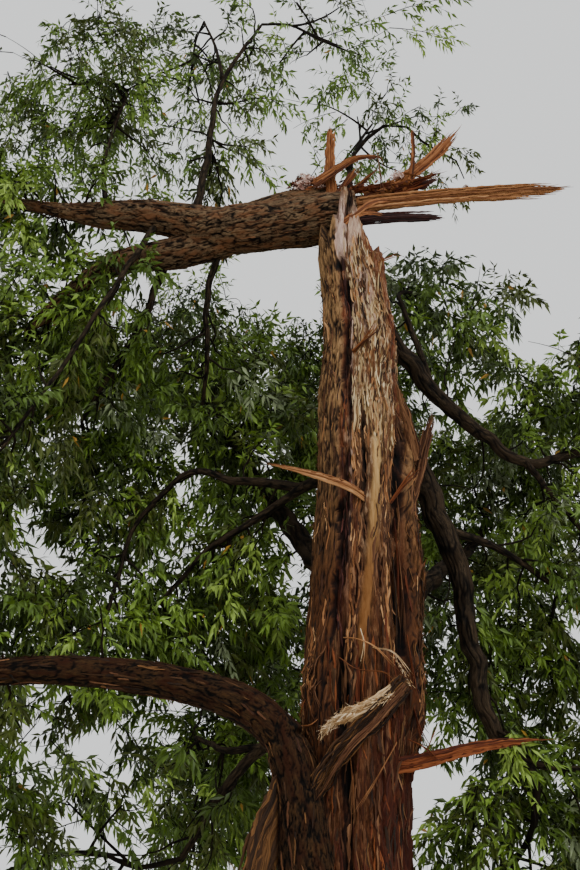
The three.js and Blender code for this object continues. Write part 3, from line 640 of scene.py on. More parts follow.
def makeTrunk(material):
    look = trunkLook
    piece = unitTube("trunk_torn", look["sides"], look["rings"])
    flat = readPlaces(piece.data)
    bearing, height, inward = trunkGrid(flat)
    middle, radius = corePlace(height)
    radians = np.radians(bearing)
    rolled = np.stack([radius * np.sin(radians), -radius * np.cos(radians), height], axis=1)
    warp = 4.5 * lumps(rolled / (0.1, 0.1, 0.3), 1) + 2.2 * lumps(rolled / (0.04, 0.04, 0.09), 2)
    warped = bearing + warp
    warpedHeight = height + 0.14 * lumps(rolled / (0.05, 0.05, 0.5), 3)
    slab = inPatch(warped, warpedHeight, slabPatch, 10.0, 0.35)
    bark = np.max([slab] + [inPatch(warped, warpedHeight, patch, 2.0, 0.06) for patch in barkPatches], axis=0)
    groove = sum(inPatch(warped, height, patch, 5.0, 0.4) * deep for patch, deep in grooves)
    bulge = sum(out * np.exp(-(((bearing - at) / wide) ** 2) - ((height - up) / tall) ** 2)
                for at, wide, up, tall, out in bulges)
    red = np.clip(sum(inPatch(warped, warpedHeight, patch, 12, 0.4) for patch in redPatches), 0, 1)

    # the smooth straw-coloured strip
    stripMiddle = np.interp(height, [4.6, 5.35, 6.2], [2, 14, 21])
    pale = (np.clip(1.6 - np.abs(bearing + 0.25 * warp - stripMiddle) / 6.2, 0, 1)
            * inPatch(warped, height, (-180, 180, 4.5, 6.5), 1, 0.4) * (1 - bark))
    wood, ridges, plates = trunkRelief(rolled, height)
    wood = wood * (1 - 0.8 * pale)
    relief = np.where(bark > 0.5, look["barkRelief"] * plates, wood)
    lobe = 0.5 + 0.5 * np.cos(radians * look["flareLobes"] + 0.6)
    flare = look["flareReach"] * np.exp(-height / look["flareHeight"]) * (0.3 + 0.7 * lobe)
    skin = (radius * (1 + 0.035 * lumps(rolled / (0.22, 0.22, 0.7), 31)) + bark * look["bark"]
            + slab * (look["slab"] - look["bark"]) - groove * look["groove"] * (1 - bark) + bulge + flare
            + relief) * (1 - inward) ** 0.8
    # the torn top sinks inwards, with its ridges
    height = (height - inward * (height - look["breakHeight"] + 0.15) * 0.9
              + 0.1 * inward * (1 - inward) * ridges)
    isHub = np.hypot(flat[:, 0], flat[:, 1]) < 0.5
    height = np.where(isHub & (flat[:, 2] > 0.5), look["breakHeight"] - 0.1, height)
    skin = np.where(isHub, 0, skin)
    places = np.stack([middle + skin * np.sin(radians), -skin * np.cos(radians),
                       np.maximum(height, 0)], axis=1)
    piece.data.vertices.foreach_set("co", places.ravel())

    # painted shade: the tone is lower in the sunken hollows, in the grooves and where the relief is low, and
    # the material darkens the trunk by it
    sunkenShade = 12 * np.minimum(bulge, 0)
    woodTone = 0.66 + wood / 0.06 - 0.6 * groove * (1 - pale) + sunkenShade
    reliefShade = np.where(bark > 0.5, 0.5 + 0.5 * plates + sunkenShade, woodTone)
    pink = (inPatch(warped, height, (-44, -12, 8.3, 9.0), 5, 0.25)
            + 0.7 * inPatch(warped, height, (-19, -14, 4.9, 7.9), 4, 0.4)
            + 0.5 * inPatch(warped, height, (-10, 24, 7.5, 8.9), 7, 0.5))
    # the height attribute carries this tone, painted shade included
    for name, values in (("rolled", rolled), ("barkShare", bark), ("paleShare", pale), ("pinkShare", pink),
                         ("redShare", red * (1 - bark * 0.6)), ("height", np.clip(reliefShade, 0, 1))):
        setAttribute(piece.data, name, values)
    dress(piece, material, ["trunk"])
    print("trunk made:", len(piece.data.polygons), "faces")
    return piece


woodLook = {
    "streaks": [(0.32, "#1f0f05"), (0.43, "#54311a"), (0.53, "#886140"), (0.66, "#cdb08b")],
    "patches": [(0.35, "#4a2812"), (0.65, "#93714c")],
    "pale": [(0.3, "#a98349"), (0.6, "#d2b179")],
    "fleck": "#d0bc9d",
    "knot": "#2a160a",
    "pink": [(0.3, "#9a7264"), (0.6, "#d3bbae")],
    "red": [(0.3, "#2c0d05"), (0.6, "#6b2c11")],
    "bark": [(0.05, "#130c06"), (0.2, "#4b3521"), (0.42, "#99754d"), (0.6, "#bd9c72")],
}


# Torn heartwood with strips of bark: silky streaks along the grain, with painted shade in the hollows
def tornHeartwood():
    material, tree = newMaterial("torn heartwood and stringy bark")
    shares = {name: addNode(tree, "Attribute", attribute_name=name).outputs["Fac"]
              for name in ("barkShare", "paleShare", "pinkShare", "redShare", "height")}
    place = addNode(tree, "TexCoord").outputs["Object"]
    # streaks about 15 mm wide and ten times as long
    streaks = addNoise(tree, place, 62, 8, stretch=0.09, rough=0.7, distortion=0.3)
    patches = addNoise(tree, place, 5, 3, stretch=0.3)
    barkFibres = addNoise(tree, place, 90, 8, stretch=0.18, rough=0.72)
    # cream flecks a few centimetres long
    flecks = addNoise(tree, place, 26, 6, stretch=0.3, rough=0.7)
    fleckShare = addRamp(tree, flecks, [(0.5, "#000000"), (0.68, "#e0e0e0")])
    # dark torn knots and pits, a few centimetres across
    knots = addNoise(tree, place, 17, 7, stretch=0.45, rough=0.72, distortion=0.8)
    knotShare = addRamp(tree, knots, [(0.36, "#d0d0d0"), (0.47, "#000000")])

    wood = mixColours(tree, 0.35, addRamp(tree, streaks, woodLook["streaks"]),
                      addRamp(tree, patches, woodLook["patches"]))
    wood = mixColours(tree, fleckShare, wood, linear(woodLook["fleck"]))
    wood = mixColours(tree, knotShare, wood, linear(woodLook["knot"]))
    for tint, most in (("red", 0.75), ("pale", 1.0), ("pink", 0.8)):
        share = addProduct(tree, shares[tint + "Share"], most)
        wood = mixColours(tree, share, wood, addRamp(tree, streaks, woodLook[tint]))
    # the bark's colour darkens with the tone, as painted shade in its furrows
    bark = addRamp(tree, addProduct(tree, barkFibres, shares["height"]), woodLook["bark"])
    surface = mixColours(tree, shares["barkShare"], wood, bark)
    # painted shade: low places in the tone are multiplied darker
    hollowShade = addRamp(tree, shares["height"], [(0.0, "#1c130e"), (0.3, "#85766c"), (0.6, "#ffffff")])
    shaded = mixColours(tree, 1.0, surface, hollowShade, "MULTIPLY")
    # painted shade: darker below 6 m, where the crown shades the trunk, and paler above
    upward = addNode(tree, "SeparateXYZ", {0: place})
    crownShadeRise = addNode(tree, "MapRange", {"Value": upward.outputs[2], "From Min": 3.4, "From Max": 7.0})
    crownShade = addRamp(tree, crownShadeRise.outputs[0], [(0.0, "#8a6a56"), (0.5, "#947966"), (1.0, "#ffffff")])
    shaded = mixColours(tree, 1.0, shaded, crownShade, "MULTIPLY")
    endMaterial(tree, shaded, 0.82, 0.15, (streaks, 0.8, 0.008))
    return material


# Splinters and torn strips: bundles of slivers that part towards the tip.
# Sizes and paths in mm. Slivers end after the share "part" of the length, a bundle narrows by the share
# "narrow", and a higher "taper" makes its slivers blunter. Those named splinter or bark_flap stand for
# the solids of their names.
splinters = {
    "splinter_long": {"wide": 180, "thick": 110, "slivers": 26, "seed": 3, "part": 0.83, "narrow": 0.15,
                      "wood": "tan", "taper": 6, "coreEnd": 0.96,
                      "path": [(0, 60, 9140), (350, 50, 9190), (1280, 50, 9300), (2200, 60, 9370)]},
    "splinter_plate": {"wide": 128, "thick": 36, "slivers": 11, "seed": 7, "part": 0.86, "narrow": 0.25,
                       "wood": "orange",
                       "path": [(180, 110, 9300), (520, 90, 9480), (860, 90, 9800), (1180, 110, 10240)]},
    "splinter_butt": {"wide": 250, "thick": 170, "slivers": 24, "seed": 9, "part": 0.3, "narrow": 0.6,
                      "wood": "red",
                      "path": [(-40, 150, 9170), (300, 130, 9270), (640, 120, 9420), (1010, 120, 9610)]},
    "splinter_upright": {"wide": 92, "thick": 46, "slivers": 8, "seed": 11, "part": 0.94, "narrow": 0.3,
                         "wood": "orange", "taper": 12,
                         "path": [(-150, 110, 9200), (-165, 100, 9650), (-148, 100, 10210)]},
    "splinter_left": {"wide": 84, "thick": 40, "slivers": 11, "seed": 15, "part": 0.8, "narrow": 0.5,
                      "wood": "tan",
                      "path": [(120, -240, 5830), (-120, -420, 5900), (-400, -500, 5960),
                               (-790, -600, 6010)]},
    "splinter_right_low": {"wide": 112, "thick": 40, "slivers": 12, "seed": 17, "part": 0.7, "narrow": 0.6,
                           "wood": "red",
                           "path": [(40, -220, 3700), (430, -250, 3760), (830, -240, 3860),
                                    (1430, -230, 3930)]},
    "bark_flap_right": {"wide": 125, "thick": 60, "slivers": 26, "seed": 19, "turn": 30, "part": 0.75,
                        "narrow": 0.1, "wood": "umber", "wave": 0.2, "taper": 5,
                        "path": [(330, -130, 5750), (470, -110, 6080), (560, -90, 6420), (700, -60, 6830)]},
    "brown_strap": {"wide": 105, "thick": 44, "slivers": 24, "seed": 20, "turn": 40, "part": 0.6,
                    "narrow": 0.3, "wood": "umber", "wave": 0.3,
                    "path": [(490, -170, 6250), (435, -195, 6600), (375, -200, 6860), (350, -190, 7080)]},
    "bark_flap_low": {"wide": 250, "thick": 56, "slivers": 24, "seed": 21, "turn": 40, "part": 0.7,
                      "narrow": -0.1, "wood": "rind", "wave": 0.2,
                      "path": [(-500, -330, 3700), (-640, -370, 3400), (-760, -410, 3060),
                               (-860, -430, 2560)]},
    "under_plate": {"wide": 115, "thick": 60, "slivers": 16, "seed": 25, "part": 0.86, "narrow": 0.2,
                    "wood": "plum", "taper": 6, "coreEnd": 0.97,
                    "path": [(40, 40, 8955), (440, 10, 8975), (920, 0, 8960)]},
    "rising_strip": {"wide": 62, "thick": 22, "slivers": 5, "seed": 27, "part": 0.9, "narrow": 0.3,
                     "wood": "orange", "taper": 12,
                     "path": [(-160, -200, 8660), (30, -235, 8800), (230, -190, 8990), (400, -140, 9060)]},
    "rising_strip_low": {"wide": 46, "thick": 18, "slivers": 4, "seed": 28, "part": 0.9, "narrow": 0.3,
                         "wood": "orange", "taper": 12,
                         "path": [(0, -235, 8760), (150, -215, 8845), (330, -170, 8850)]},
    "curl_strip": {"wide": 92, "thick": 44, "slivers": 13, "seed": 29, "part": 0.5, "narrow": 0.25,
                   "wood": "orange",
                   "path": [(-330, 40, 9400), (-120, 20, 9560), (60, 10, 9690), (200, 0, 9720),
                            (330, 0, 9700), (355, 0, 9560)]},
    "ray_left": {"wide": 52, "thick": 20, "slivers": 5, "seed": 31, "part": 0.7, "narrow": 0.4,
                 "wood": "orange",
                 "path": [(-120, 60, 9250), (-10, 40, 9440), (110, 20, 9640)]},
    "ray_right": {"wide": 56, "thick": 22, "slivers": 5, "seed": 33, "part": 0.75, "narrow": 0.5,
                  "wood": "orange",
                  "path": [(-40, 60, 9260), (120, 40, 9400), (300, 20, 9590)]},
    "short_upright": {"wide": 36, "thick": 18, "slivers": 3, "seed": 35, "part": 0.94, "narrow": 0.2,
                      "wood": "orange", "taper": 12,
                      "path": [(610, 70, 9420), (660, 60, 9780), (668, 60, 10150)]},
    "lesser_ray": {"wide": 60, "thick": 22, "slivers": 6, "seed": 37, "part": 0.6, "narrow": 0.5,
                   "wood": "red",
                   "path": [(420, 80, 9380), (680, 60, 9470), (990, 50, 9590)]},
    "torn_strap": {"wide": 165, "thick": 110, "slivers": 50, "seed": 23, "turn": 25, "part": 0.9,
                   "narrow": 0.1, "wood": "rind", "taper": 12, "wave": 0.3,
                   "path": [(300, -310, 4310), (50, -440, 4020), (-180, -480, 3790), (-440, -400, 3420),
                            (-560, -300, 3180)]},
    "strap_streak": {"wide": 48, "thick": 34, "slivers": 9, "seed": 26, "turn": 15, "part": 0.6,
                     "narrow": 0.2, "wood": "umber", "wave": 0.35,
                     "path": [(290, -370, 4270), (60, -490, 3980), (-150, -525, 3760), (-400, -440, 3400)]},
    "strap_edge": {"wide": 84, "thick": 50, "slivers": 20, "seed": 24, "turn": 10, "part": 0.6,
                   "narrow": -0.2, "wood": "cream", "wave": 0.35,
                   "path": [(190, -400, 4230), (10, -490, 4085), (-140, -520, 4005), (-310, -480, 3900)]},
}
# Short chips heaped along the strap's torn edge and in tufts: wood, count, spread in mm, how drawn out
# they are, and path in mm
chipHeaps = [
    ("cream", 420, 34, 2.2, [(150, -450, 4165), (-20, -510, 4085), (-170, -530, 4015), (-320, -490, 3905)]),
    ("cream", 26, 26, 1.8, [(-290, -500, 3925), (-320, -490, 3890), (-340, -480, 3850)]),
    ("cream", 50, 18, 1.8, [(200, -440, 4480), (270, -410, 4380), (330, -380, 4280)]),
    ("pink", 420, 62, 1.0, [(-470, 200, 9500), (-400, 200, 9570), (-330, 200, 9570), (-240, 190, 9500)]),
    ("red", 90, 44, 1.2, [(-530, 200, 9480), (-490, 200, 9560), (-460, 200, 9620)]),
    ("red", 110, 60, 1.3, [(-330, 200, 9480), (-200, 180, 9480), (-90, 160, 9470)]),
    ("pink", 150, 34, 1.0, [(450, 60, 9500), (490, 60, 9540), (540, 60, 9530)]),
    ("tan", 90, 20, 1.0, [(1120, 40, 9330), (1150, 30, 9375), (1180, 40, 9345)]),
    ("red", 60, 60, 1.0, [(-60, 10, 9280), (100, 0, 9330), (260, 0, 9350)]),
    ("orange", 60, 60, 1.0, [(280, 40, 9330), (450, 40, 9380), (640, 40, 9440)]),
    ("umber", 110, 30, 1.8, [(-330, -290, 4640), (-410, -300, 4400), (-390, -310, 4060)]),
]
# Small loose slivers around the break and down the torn front: width, wood and path, in mm
smallSlivers = [
    (40, "red", [(-60, 20, 9300), (60, 10, 9470), (150, 0, 9640)]),
    (36, "orange", [(40, 30, 9290), (170, 20, 9440), (330, 10, 9600)]),
    (70, "red", [(-40, 20, 9260), (264, 0, 9347), (548, 0, 9440)]),
    (44, "orange", [(500, 70, 9400), (761, 50, 9492), (951, 50, 9570)]),
    (26, "orange", [(560, 60, 9560), (800, 40, 9500), (850, 30, 9640)]),
    (58, "orange", [(-20, -320, 7230), (110, -350, 7350), (240, -370, 7480)]),
    (32, "orange", [(200, -200, 8220), (300, -260, 8270), (450, -290, 8320)]),
    (24, "tan", [(215, -300, 3870), (60, -420, 3600), (-121, -440, 3320)]),
    (20, "tan", [(-132, -400, 3780), (-120, -440, 3500), (-135, -410, 3260)]),
    (30, "tan", [(-150, -370, 4640), (-60, -460, 4600), (60, -470, 4540), (180, -440, 4420),
                 (290, -380, 4300)]),
    (22, "cream", [(60, -380, 4560), (200, -450, 4500), (330, -400, 4340)]),
    (24, "cream", [(-30, -390, 4700), (-10, -470, 4560), (-30, -460, 4400)]),
    (20, "orange", [(-190, -330, 4500), (-60, -480, 4360), (150, -470, 4330), (240, -400, 4240)]),
    (34, "red", [(360, -200, 4150), (400, -260, 3950), (460, -270, 3780)]),
    (26, "red", [(430, -230, 3800), (470, -260, 3900), (520, -250, 4010)]),
    (24, "red", [(300, -280, 3900), (420, -290, 3830), (520, -270, 3720)]),
    (42, "red", [(250, -260, 5820), (360, -320, 5960), (480, -330, 6110)]),
    (22, "orange", [(-300, -300, 4100), (-420, -330, 3990), (-540, -300, 4010)]),
    (26, "red", [(-330, -200, 4300), (-440, -260, 4200), (-480, -250, 4040)]),
    (30, "rind", [(-330, -220, 4620), (-420, -260, 4480), (-430, -280, 4200), (-350, -300, 4020)]),
    (26, "rind", [(-290, -260, 4680), (-370, -320, 4500), (-370, -340, 4250)]),
    (32, "umber", [(300, -20, 9740), (312, -30, 9500), (325, -40, 9200)]),
    (30, "umber", [(-250, -300, 4560), (-350, -330, 4500), (-400, -340, 4300)]),
    (26, "umber", [(-300, -330, 4350), (-380, -350, 4250), (-330, -370, 4080)]),
    (28, "red", [(330, -260, 4700), (360, -290, 4400), (380, -300, 4060)]),
    (40, "rind", [(250, -235, 5350), (262, -250, 4950), (255, -270, 4500)]),
    (34, "umber", [(300, -195, 5500), (312, -215, 5050), (300, -240, 4600)]),
    (30, "red", [(280, -210, 5700), (290, -225, 5300), (275, -245, 4800)]),
    (36, "rind", [(330, -150, 6200), (345, -165, 5800), (335, -185, 5400)]),
    (28, "umber", [(310, -180, 6050), (318, -195, 5700), (300, -215, 5300)]),
    (30, "umber", [(345, -140, 5600), (352, -150, 5200), (340, -175, 4700)]),
]
woodTints = {
    "tan": [(0.25, "#361b0d"), (0.45, "#653c20"), (0.62, "#8e6039"), (0.9, "#bd9164")],
    "umber": [(0.25, "#190c06"), (0.45, "#341c0e"), (0.65, "#55341e"), (0.9, "#7c573a")],
    "straw": [(0.25, "#4a3018"), (0.45, "#80623d"), (0.65, "#ab9068"), (0.9, "#cfbb97")],
    "orange": [(0.25, "#230d05"), (0.45, "#46220d"), (0.65, "#6c3c1a"), (0.9, "#9b6840")],
    "red": [(0.25, "#170602"), (0.45, "#341206"), (0.65, "#56260e"), (0.9, "#804724")],
    "plum": [(0.25, "#0c0504"), (0.45, "#1b0c0a"), (0.65, "#341915"), (0.9, "#5a3027")],
    "rind": [(0.25, "#0a0603"), (0.45, "#1c1008"), (0.65, "#392311"), (0.9, "#6b4826")],
    "cream": [(0.25, "#5f4023"), (0.45, "#9b784f"), (0.65, "#c9ac84"), (0.9, "#e8d5b9")],
    "pink": [(0.25, "#6d4539"), (0.45, "#a67f72"), (0.65, "#d3b5a8"), (0.9, "#ecdbd4")],
}


# Fresh split wood: long silky fibres, a soft sheen, each sliver a little lighter or darker
def splitWood(tint):
    material, tree = newMaterial("fresh split wood, " + tint)
    rolled = addNode(tree, "Attribute", attribute_name="rolled").outputs["Vector"]
    own = addNode(tree, "Attribute", attribute_name="ownTint").outputs["Fac"]
    grain = addNoise(tree, rolled, 120, 5, stretch=0.05)
    value = addNode(tree, "Math", {0: grain, 1: 0.8, 2: addProduct(tree, own, 0.42)},
                    operation="MULTIPLY_ADD")
    endMaterial(tree, addRamp(tree, value.outputs[0], woodTints[tint]), 0.8, 0.2, (grain, 0.5, 0.003))
    return material


# Adds one sliver to a bmesh: a flat tube along places, narrowing to a point
def addSliver(bm, layers, places, across, through, halfWide, halfThick, tint, rng, sides=7):
    rings = len(places) - 1
    grid = bmesh.ops.create_grid(bm, x_segments=sides, y_segments=rings, size=0.5)["verts"]
    ragged = 0.6 + 0.8 * rng.random((rings + 1, 2)) ** 1.4
    rolledLayer, tintLayer = layers
    for vert in grid:
        turn = (vert.co.x + 0.5) * 2 * math.pi
        ring = round((vert.co.y + 0.5) * rings)
        c, s = math.cos(turn), math.sin(turn)
        wide = halfWide[ring] * ragged[ring][0 if c > 0 else 1] * c
        thick = halfThick[ring] * s
        vert[rolledLayer] = (wide, thick, ring * 0.03 + tint * 7)
        vert[tintLayer] = tint
        vert.co = places[ring] + across[ring] * wide + through[ring] * thick
    bmesh.ops.remove_doubles(bm, verts=grid, dist=1e-5)


def turnedFrame(course, shares, turn):
    across, through = follow(course, shares, "up"), follow(course, shares, "side")
    return (across * math.cos(turn) + through * math.sin(turn),
            through * math.cos(turn) - across * math.sin(turn))


def sliverBundle(name, look):
    course = courseThrough(look["path"])
    rng = np.random.default_rng(look["seed"])
    count = look["slivers"]
    halfWide, halfThick = look["wide"] * mm / 2, look["thick"] * mm / 2
    turn = math.radians(look.get("turn", 0))
    bm, layers = newSliverMesh()
    for i in range(count):
        offset = (2 * (i + 0.5) / count - 1) + rng.uniform(-0.1, 0.1)
        layer = rng.uniform(-0.6, 0.6)
        start = rng.uniform(0, 0.12) if i % 3 else 0
        end = look["part"] + (1 - look["part"]) * max(0, 1 - abs(offset)) ** 0.8 * rng.uniform(0.55, 1.0)
        if i == count // 2:
            end = 1.0
        rings = max(8, int(course["length"] * (end - start) / 0.028))
        along = np.linspace(0, 1, rings + 1)
        shares = start + (end - start) * along
        across, through = turnedFrame(course, shares, turn)
        narrowing = 1 - look["narrow"] * shares ** 1.3
        splay = 0.4 * rng.uniform(-0.3, 0.3) * along ** 3
        way = np.stack([shares * course["length"] / 0.11, i + 0 * shares, 0 * shares], axis=1)
        splay = splay + look.get("wave", 0.1) * lumps(way, look["seed"])
        sideways = halfWide * (offset * narrowing + splay)
        inwards = halfThick * (layer * narrowing + rng.uniform(-1, 1) * along ** 3)
        places = follow(course, shares) + across * sideways[:, None] + through * inwards[:, None]
        taper = np.clip((1 - along) * look.get("taper", 3.2), 0.04, 1) ** 0.7
        wide = 1.8 * halfWide / count ** 0.8 * narrowing * taper
        thick = min(0.62, 5 / count) * halfThick * narrowing * taper
        addSliver(bm, layers, places, across, through, wide, thick, rng.random(), rng)

    # one solid sliver in the middle, so that no light shows between the others
    along = np.linspace(0, 1, max(8, int(course["length"] / 0.028)) + 1)
    shares = along * look.get("coreEnd", 0.88)
    across, through = turnedFrame(course, shares, turn)
    narrowing = (1 - look["narrow"] * shares ** 1.3) * np.clip((1 - along) * 6, 0.04, 1) ** 0.7
    addSliver(bm, layers, follow(course, shares), across, through, 0.8 * halfWide * narrowing,
              0.4 * halfThick * narrowing, rng.random(), rng)
    return closeEnds(name, bm)


def closeEnds(name, bm):
    rims = [edge for edge in bm.edges if edge.is_boundary]
    bmesh.ops.holes_fill(bm, edges=rims, sides=0)
    bmesh.ops.recalc_face_normals(bm, faces=bm.faces)
    return newPiece(name, bm)


def newSliverMesh():
    bm = bmesh.new()
    return bm, (bm.verts.layers.float_vector.new("rolled"), bm.verts.layers.float.new("ownTint"))


def makeSplinters(woods):
    for name, look in splinters.items():
        piece = sliverBundle(name + "_torn", look)
        isSolid = name.startswith(("splinter_", "bark_flap_"))
        dress(piece, woods[look["wood"]], [name] if isSolid else [], smooth=False)
    rng = np.random.default_rng(5)
    for tint in woodTints:
        bm, layers = newSliverMesh()
        addSmallSlivers(bm, layers, tint, rng)
        addChips(bm, layers, tint, rng)
        if not bm.verts:
            bm.free()
            continue
        piece = closeEnds("small_splinters_" + tint, bm)
        dress(piece, woods[tint], smooth=False)
    print("splinters made:", len(splinters), "bundles")


# Each small sliver is five strands that part towards their tips
def addSmallSlivers(bm, layers, tint, rng):
    for width, wood, path in smallSlivers:
        if wood != tint:
            continue
        course = courseThrough(path)
        along = np.linspace(0, 1, max(8, int(course["length"] / 0.035)) + 1)
        taper = np.clip((1 - along) * 2.4, 0.05, 1) ** 0.8
        for strand in range(5):
            shares = along * rng.uniform(0.75, 1) if strand else along
            across, through = follow(course, shares, "side"), follow(course, shares, "up")
            stray = rng.uniform(-0.9, 0.9, 2) * width * mm
            sideways = (strand - 2) * width * mm * 0.17 + stray[0] * along ** 2
            places = (follow(course, shares) + across * sideways[:, None]
                      + through * (stray[1] * along ** 2)[:, None])
            addSliver(bm, layers, places, across, through, width * mm * 0.22 * taper,
                      width * mm * 0.12 * taper, rng.random(), rng, sides=5)


# Heaps of short curled chips along a path
def addChips(bm, layers, tint, rng):
    for wood, count, spread, drawn, path in chipHeaps:
        if wood != tint:
            continue
        course = courseThrough(path)
        for _ in range(count):
            at = rng.random()
            root = follow(course, at) + rng.normal(0, spread * mm * 0.45, 3)
            heading = unit(follow(course, at, "along") * rng.choice((-1, 1)) + rng.normal(0, 0.55 / drawn, 3))
            bend = unit(np.cross(heading, rng.normal(0, 1, 3)))
            length = spread * mm * rng.uniform(0.4, 1.1) * drawn
            along = np.linspace(0, 1, 6)
            places = root + heading * (along * length)[:, None] + bend * (0.35 * length * along ** 2)[:, None]
            across = np.repeat(unit(np.cross(heading, bend))[None], 6, 0)
            taper = np.clip((1 - along) * 2.5, 0.15, 1)
            wide = rng.uniform(0.1, 0.26) * spread * mm / drawn ** 0.7
            addSliver(bm, layers, places, across, np.repeat(bend[None], 6, 0), wide * taper,
                      0.35 * wide * taper, rng.random(), rng, sides=4)


# Torn strips that cling to the trunk, the log and the bough.
# Each row: degrees about the course, metres along it, how many, their lengths and their woods.
stripLook = {
    "seed": 77,
    "rings": 9,
    "width": (0.003, 0.008),     # half of it, in metres
    "flat": 0.32,
    "lift": 0.003,
    "curl": 0.045,               # how far an end may stand off
    "drift": 7,                  # degrees from one end to the other
    "wave": 0.9,                 # degrees to either side, over the next length
    "waveLength": 0.2,
    "step": 0.07,                # a strip isn't laid over a greater step than this
}
trunkStrips = [
    (-98, -38, 2.5, 8.2, 320, (0.06, 0.3), ("rind", "umber", "rind", "umber", "tan")),
    (-80, -48, 3.9, 4.7, 90, (0.08, 0.3), ("tan", "tan", "umber", "rind")),
    (-34, -16, 4.6, 8.2, 40, (0.1, 0.4), ("plum", "plum", "rind")),
    (-16, 54, 6.4, 8.5, 420, (0.08, 0.36), ("tan", "straw", "umber", "straw", "rind")),
    (-16, -2, 4.6, 6.4, 60, (0.1, 0.5), ("tan", "umber", "umber")),
    (28, 54, 4.6, 6.4, 90, (0.1, 0.5), ("rind", "umber", "umber", "tan")),
    (-2, 28, 4.6, 6.4, 16, (0.1, 0.3), ("umber",)),
    (-34, 60, 2.5, 4.6, 200, (0.12, 0.6), ("rind", "umber", "umber", "red")),
    (54, 112, 2.5, 8.0, 260, (0.08, 0.4), ("rind", "rind", "umber", "red")),
    (58, 112, 3.8, 6.6, 420, (0.08, 0.3), ("rind", "umber", "rind", "rind", "umber", "tan")),
    (112, 262, 0.3, 8.2, 380, (0.1, 0.4), ("rind", "rind", "rind", "umber")),
    (-98, 112, 0.3, 2.5, 200, (0.1, 0.4), ("rind", "rind", "umber")),
]
# The same for limbs: limb, how far out the rays start, and its row
limbStrips = [
    ("toppled_top", 0.5, (0, 360, 0.15, 1.25, 130, (0.05, 0.2), ("rind", "rind", "umber"))),
    ("toppled_leader", 0.4, (0, 360, 0.1, 1.9, 110, (0.05, 0.2), ("rind", "rind", "umber"))),
    ("bough_lower_left", 0.4, (0, 360, 0.1, 2.6, 150, (0.05, 0.22), ("rind", "rind", "rind", "umber"))),
    ("bough_lower_left_stem", 0.5, (0, 360, 0.2, 1.5, 110, (0.06, 0.3), ("rind", "rind", "umber"))),
]


# Finds where strips lie on a skin, by rays in towards its course
def findStrips(laid, piece, course, zones, far, rng):
    look = stripLook
    way = np.linspace(-0.5, 0.5, look["rings"])
    faces = [tuple(face.vertices) for face in piece.data.polygons]
    skin = BVHTree.FromPolygons(readPlaces(piece.data).tolist(), faces)
    for start, stop, low, high, count, lengths, woods in zones:
        for _ in range(count):
            length = rng.uniform(*lengths)
            shares = (rng.uniform(low, high) + length * way) / course["length"]
            wave = look["wave"] * np.sin(2 * math.pi * (length / look["waveLength"] * way + rng.random()))
            turns = rng.uniform(start, stop) + 180 + look["drift"] * rng.uniform(-1, 1) * way + wave
            turns = np.radians(turns)
            axis = follow(course, shares)
            outward = (follow(course, shares, "side") * np.cos(turns)[:, None]
                       + follow(course, shares, "up") * np.sin(turns)[:, None])
            hits = [skin.ray_cast((a + o * far).tolist(), (-o).tolist(), far)[0]
                    for a, o in zip(axis, outward)]
            if any(hit is None for hit in hits):
                continue
            depth = ((np.array(hits) - axis) * outward).sum(axis=1)
            if np.ptp(depth) > look["step"]:
                continue
            depth = np.convolve(np.pad(depth, 2, "edge"), np.ones(5) / 5, "valid")
            curl = look["curl"] * rng.random() ** 2.5 * np.clip(2 * way * rng.choice((-1, 1)), 0, 1) ** 2
            wide = rng.uniform(*look["width"]) * (1 + 1.6 * length)
            ragged = np.clip((1 - np.abs(2 * way)) * 4, 0.06, 1) * rng.uniform(0.6, 1.25, look["rings"])
            facing = outward + np.cross(outward, unit(axis[-1] - axis[0])) * rng.uniform(-0.7, 0.7)
            laid[rng.choice(woods)].append((axis + outward * (depth + look["lift"] + curl)[:, None], facing,
                                            wide * ragged, rng.random(), length * way))


def makeStrips(trunk, log, bough, woods):
    rng = np.random.default_rng(stripLook["seed"])
    laid = {tint: [] for tint in woods}
    trunkCourse = courseThrough([(x / mm, 0, z / mm) for z, x, _ in trunkCore])
    findStrips(laid, trunk, trunkCourse, trunkStrips, 0.95, rng)
    for limb, far, zone in limbStrips:
        findStrips(laid, log if "toppled" in limb else bough, limbCourses[limb], [zone], far, rng)
    corners = 2 * math.pi * np.arange(4) / 4
    for tint, strips in laid.items():
        if not strips:
            continue
        lines, facing, radii, ownTint, along = [np.array(part) for part in zip(*strips)]
        piece = meshFromTriangles("clinging_strips_" + tint,
                                  [tubesAlong(lines, radii, 4, facing, stripLook["flat"])])
        rolled = np.stack([radii[..., None] * np.cos(corners), radii[..., None] * np.sin(corners),
                           (along + ownTint[:, None] * 7)[..., None] + 0 * corners], axis=-1)
        setAttribute(piece.data, "rolled", rolled.reshape(-1, 3))
        setAttribute(piece.data, "ownTint", ownTint.repeat(rolled.shape[1] * 4))
        dress(piece, woods[tint], smooth=False)
    print("strips laid:", sum(len(strips) for strips in laid.values()))


# Foliage, by the source's rule: stem, twigs and sprays from the same seeds, then finer twigs

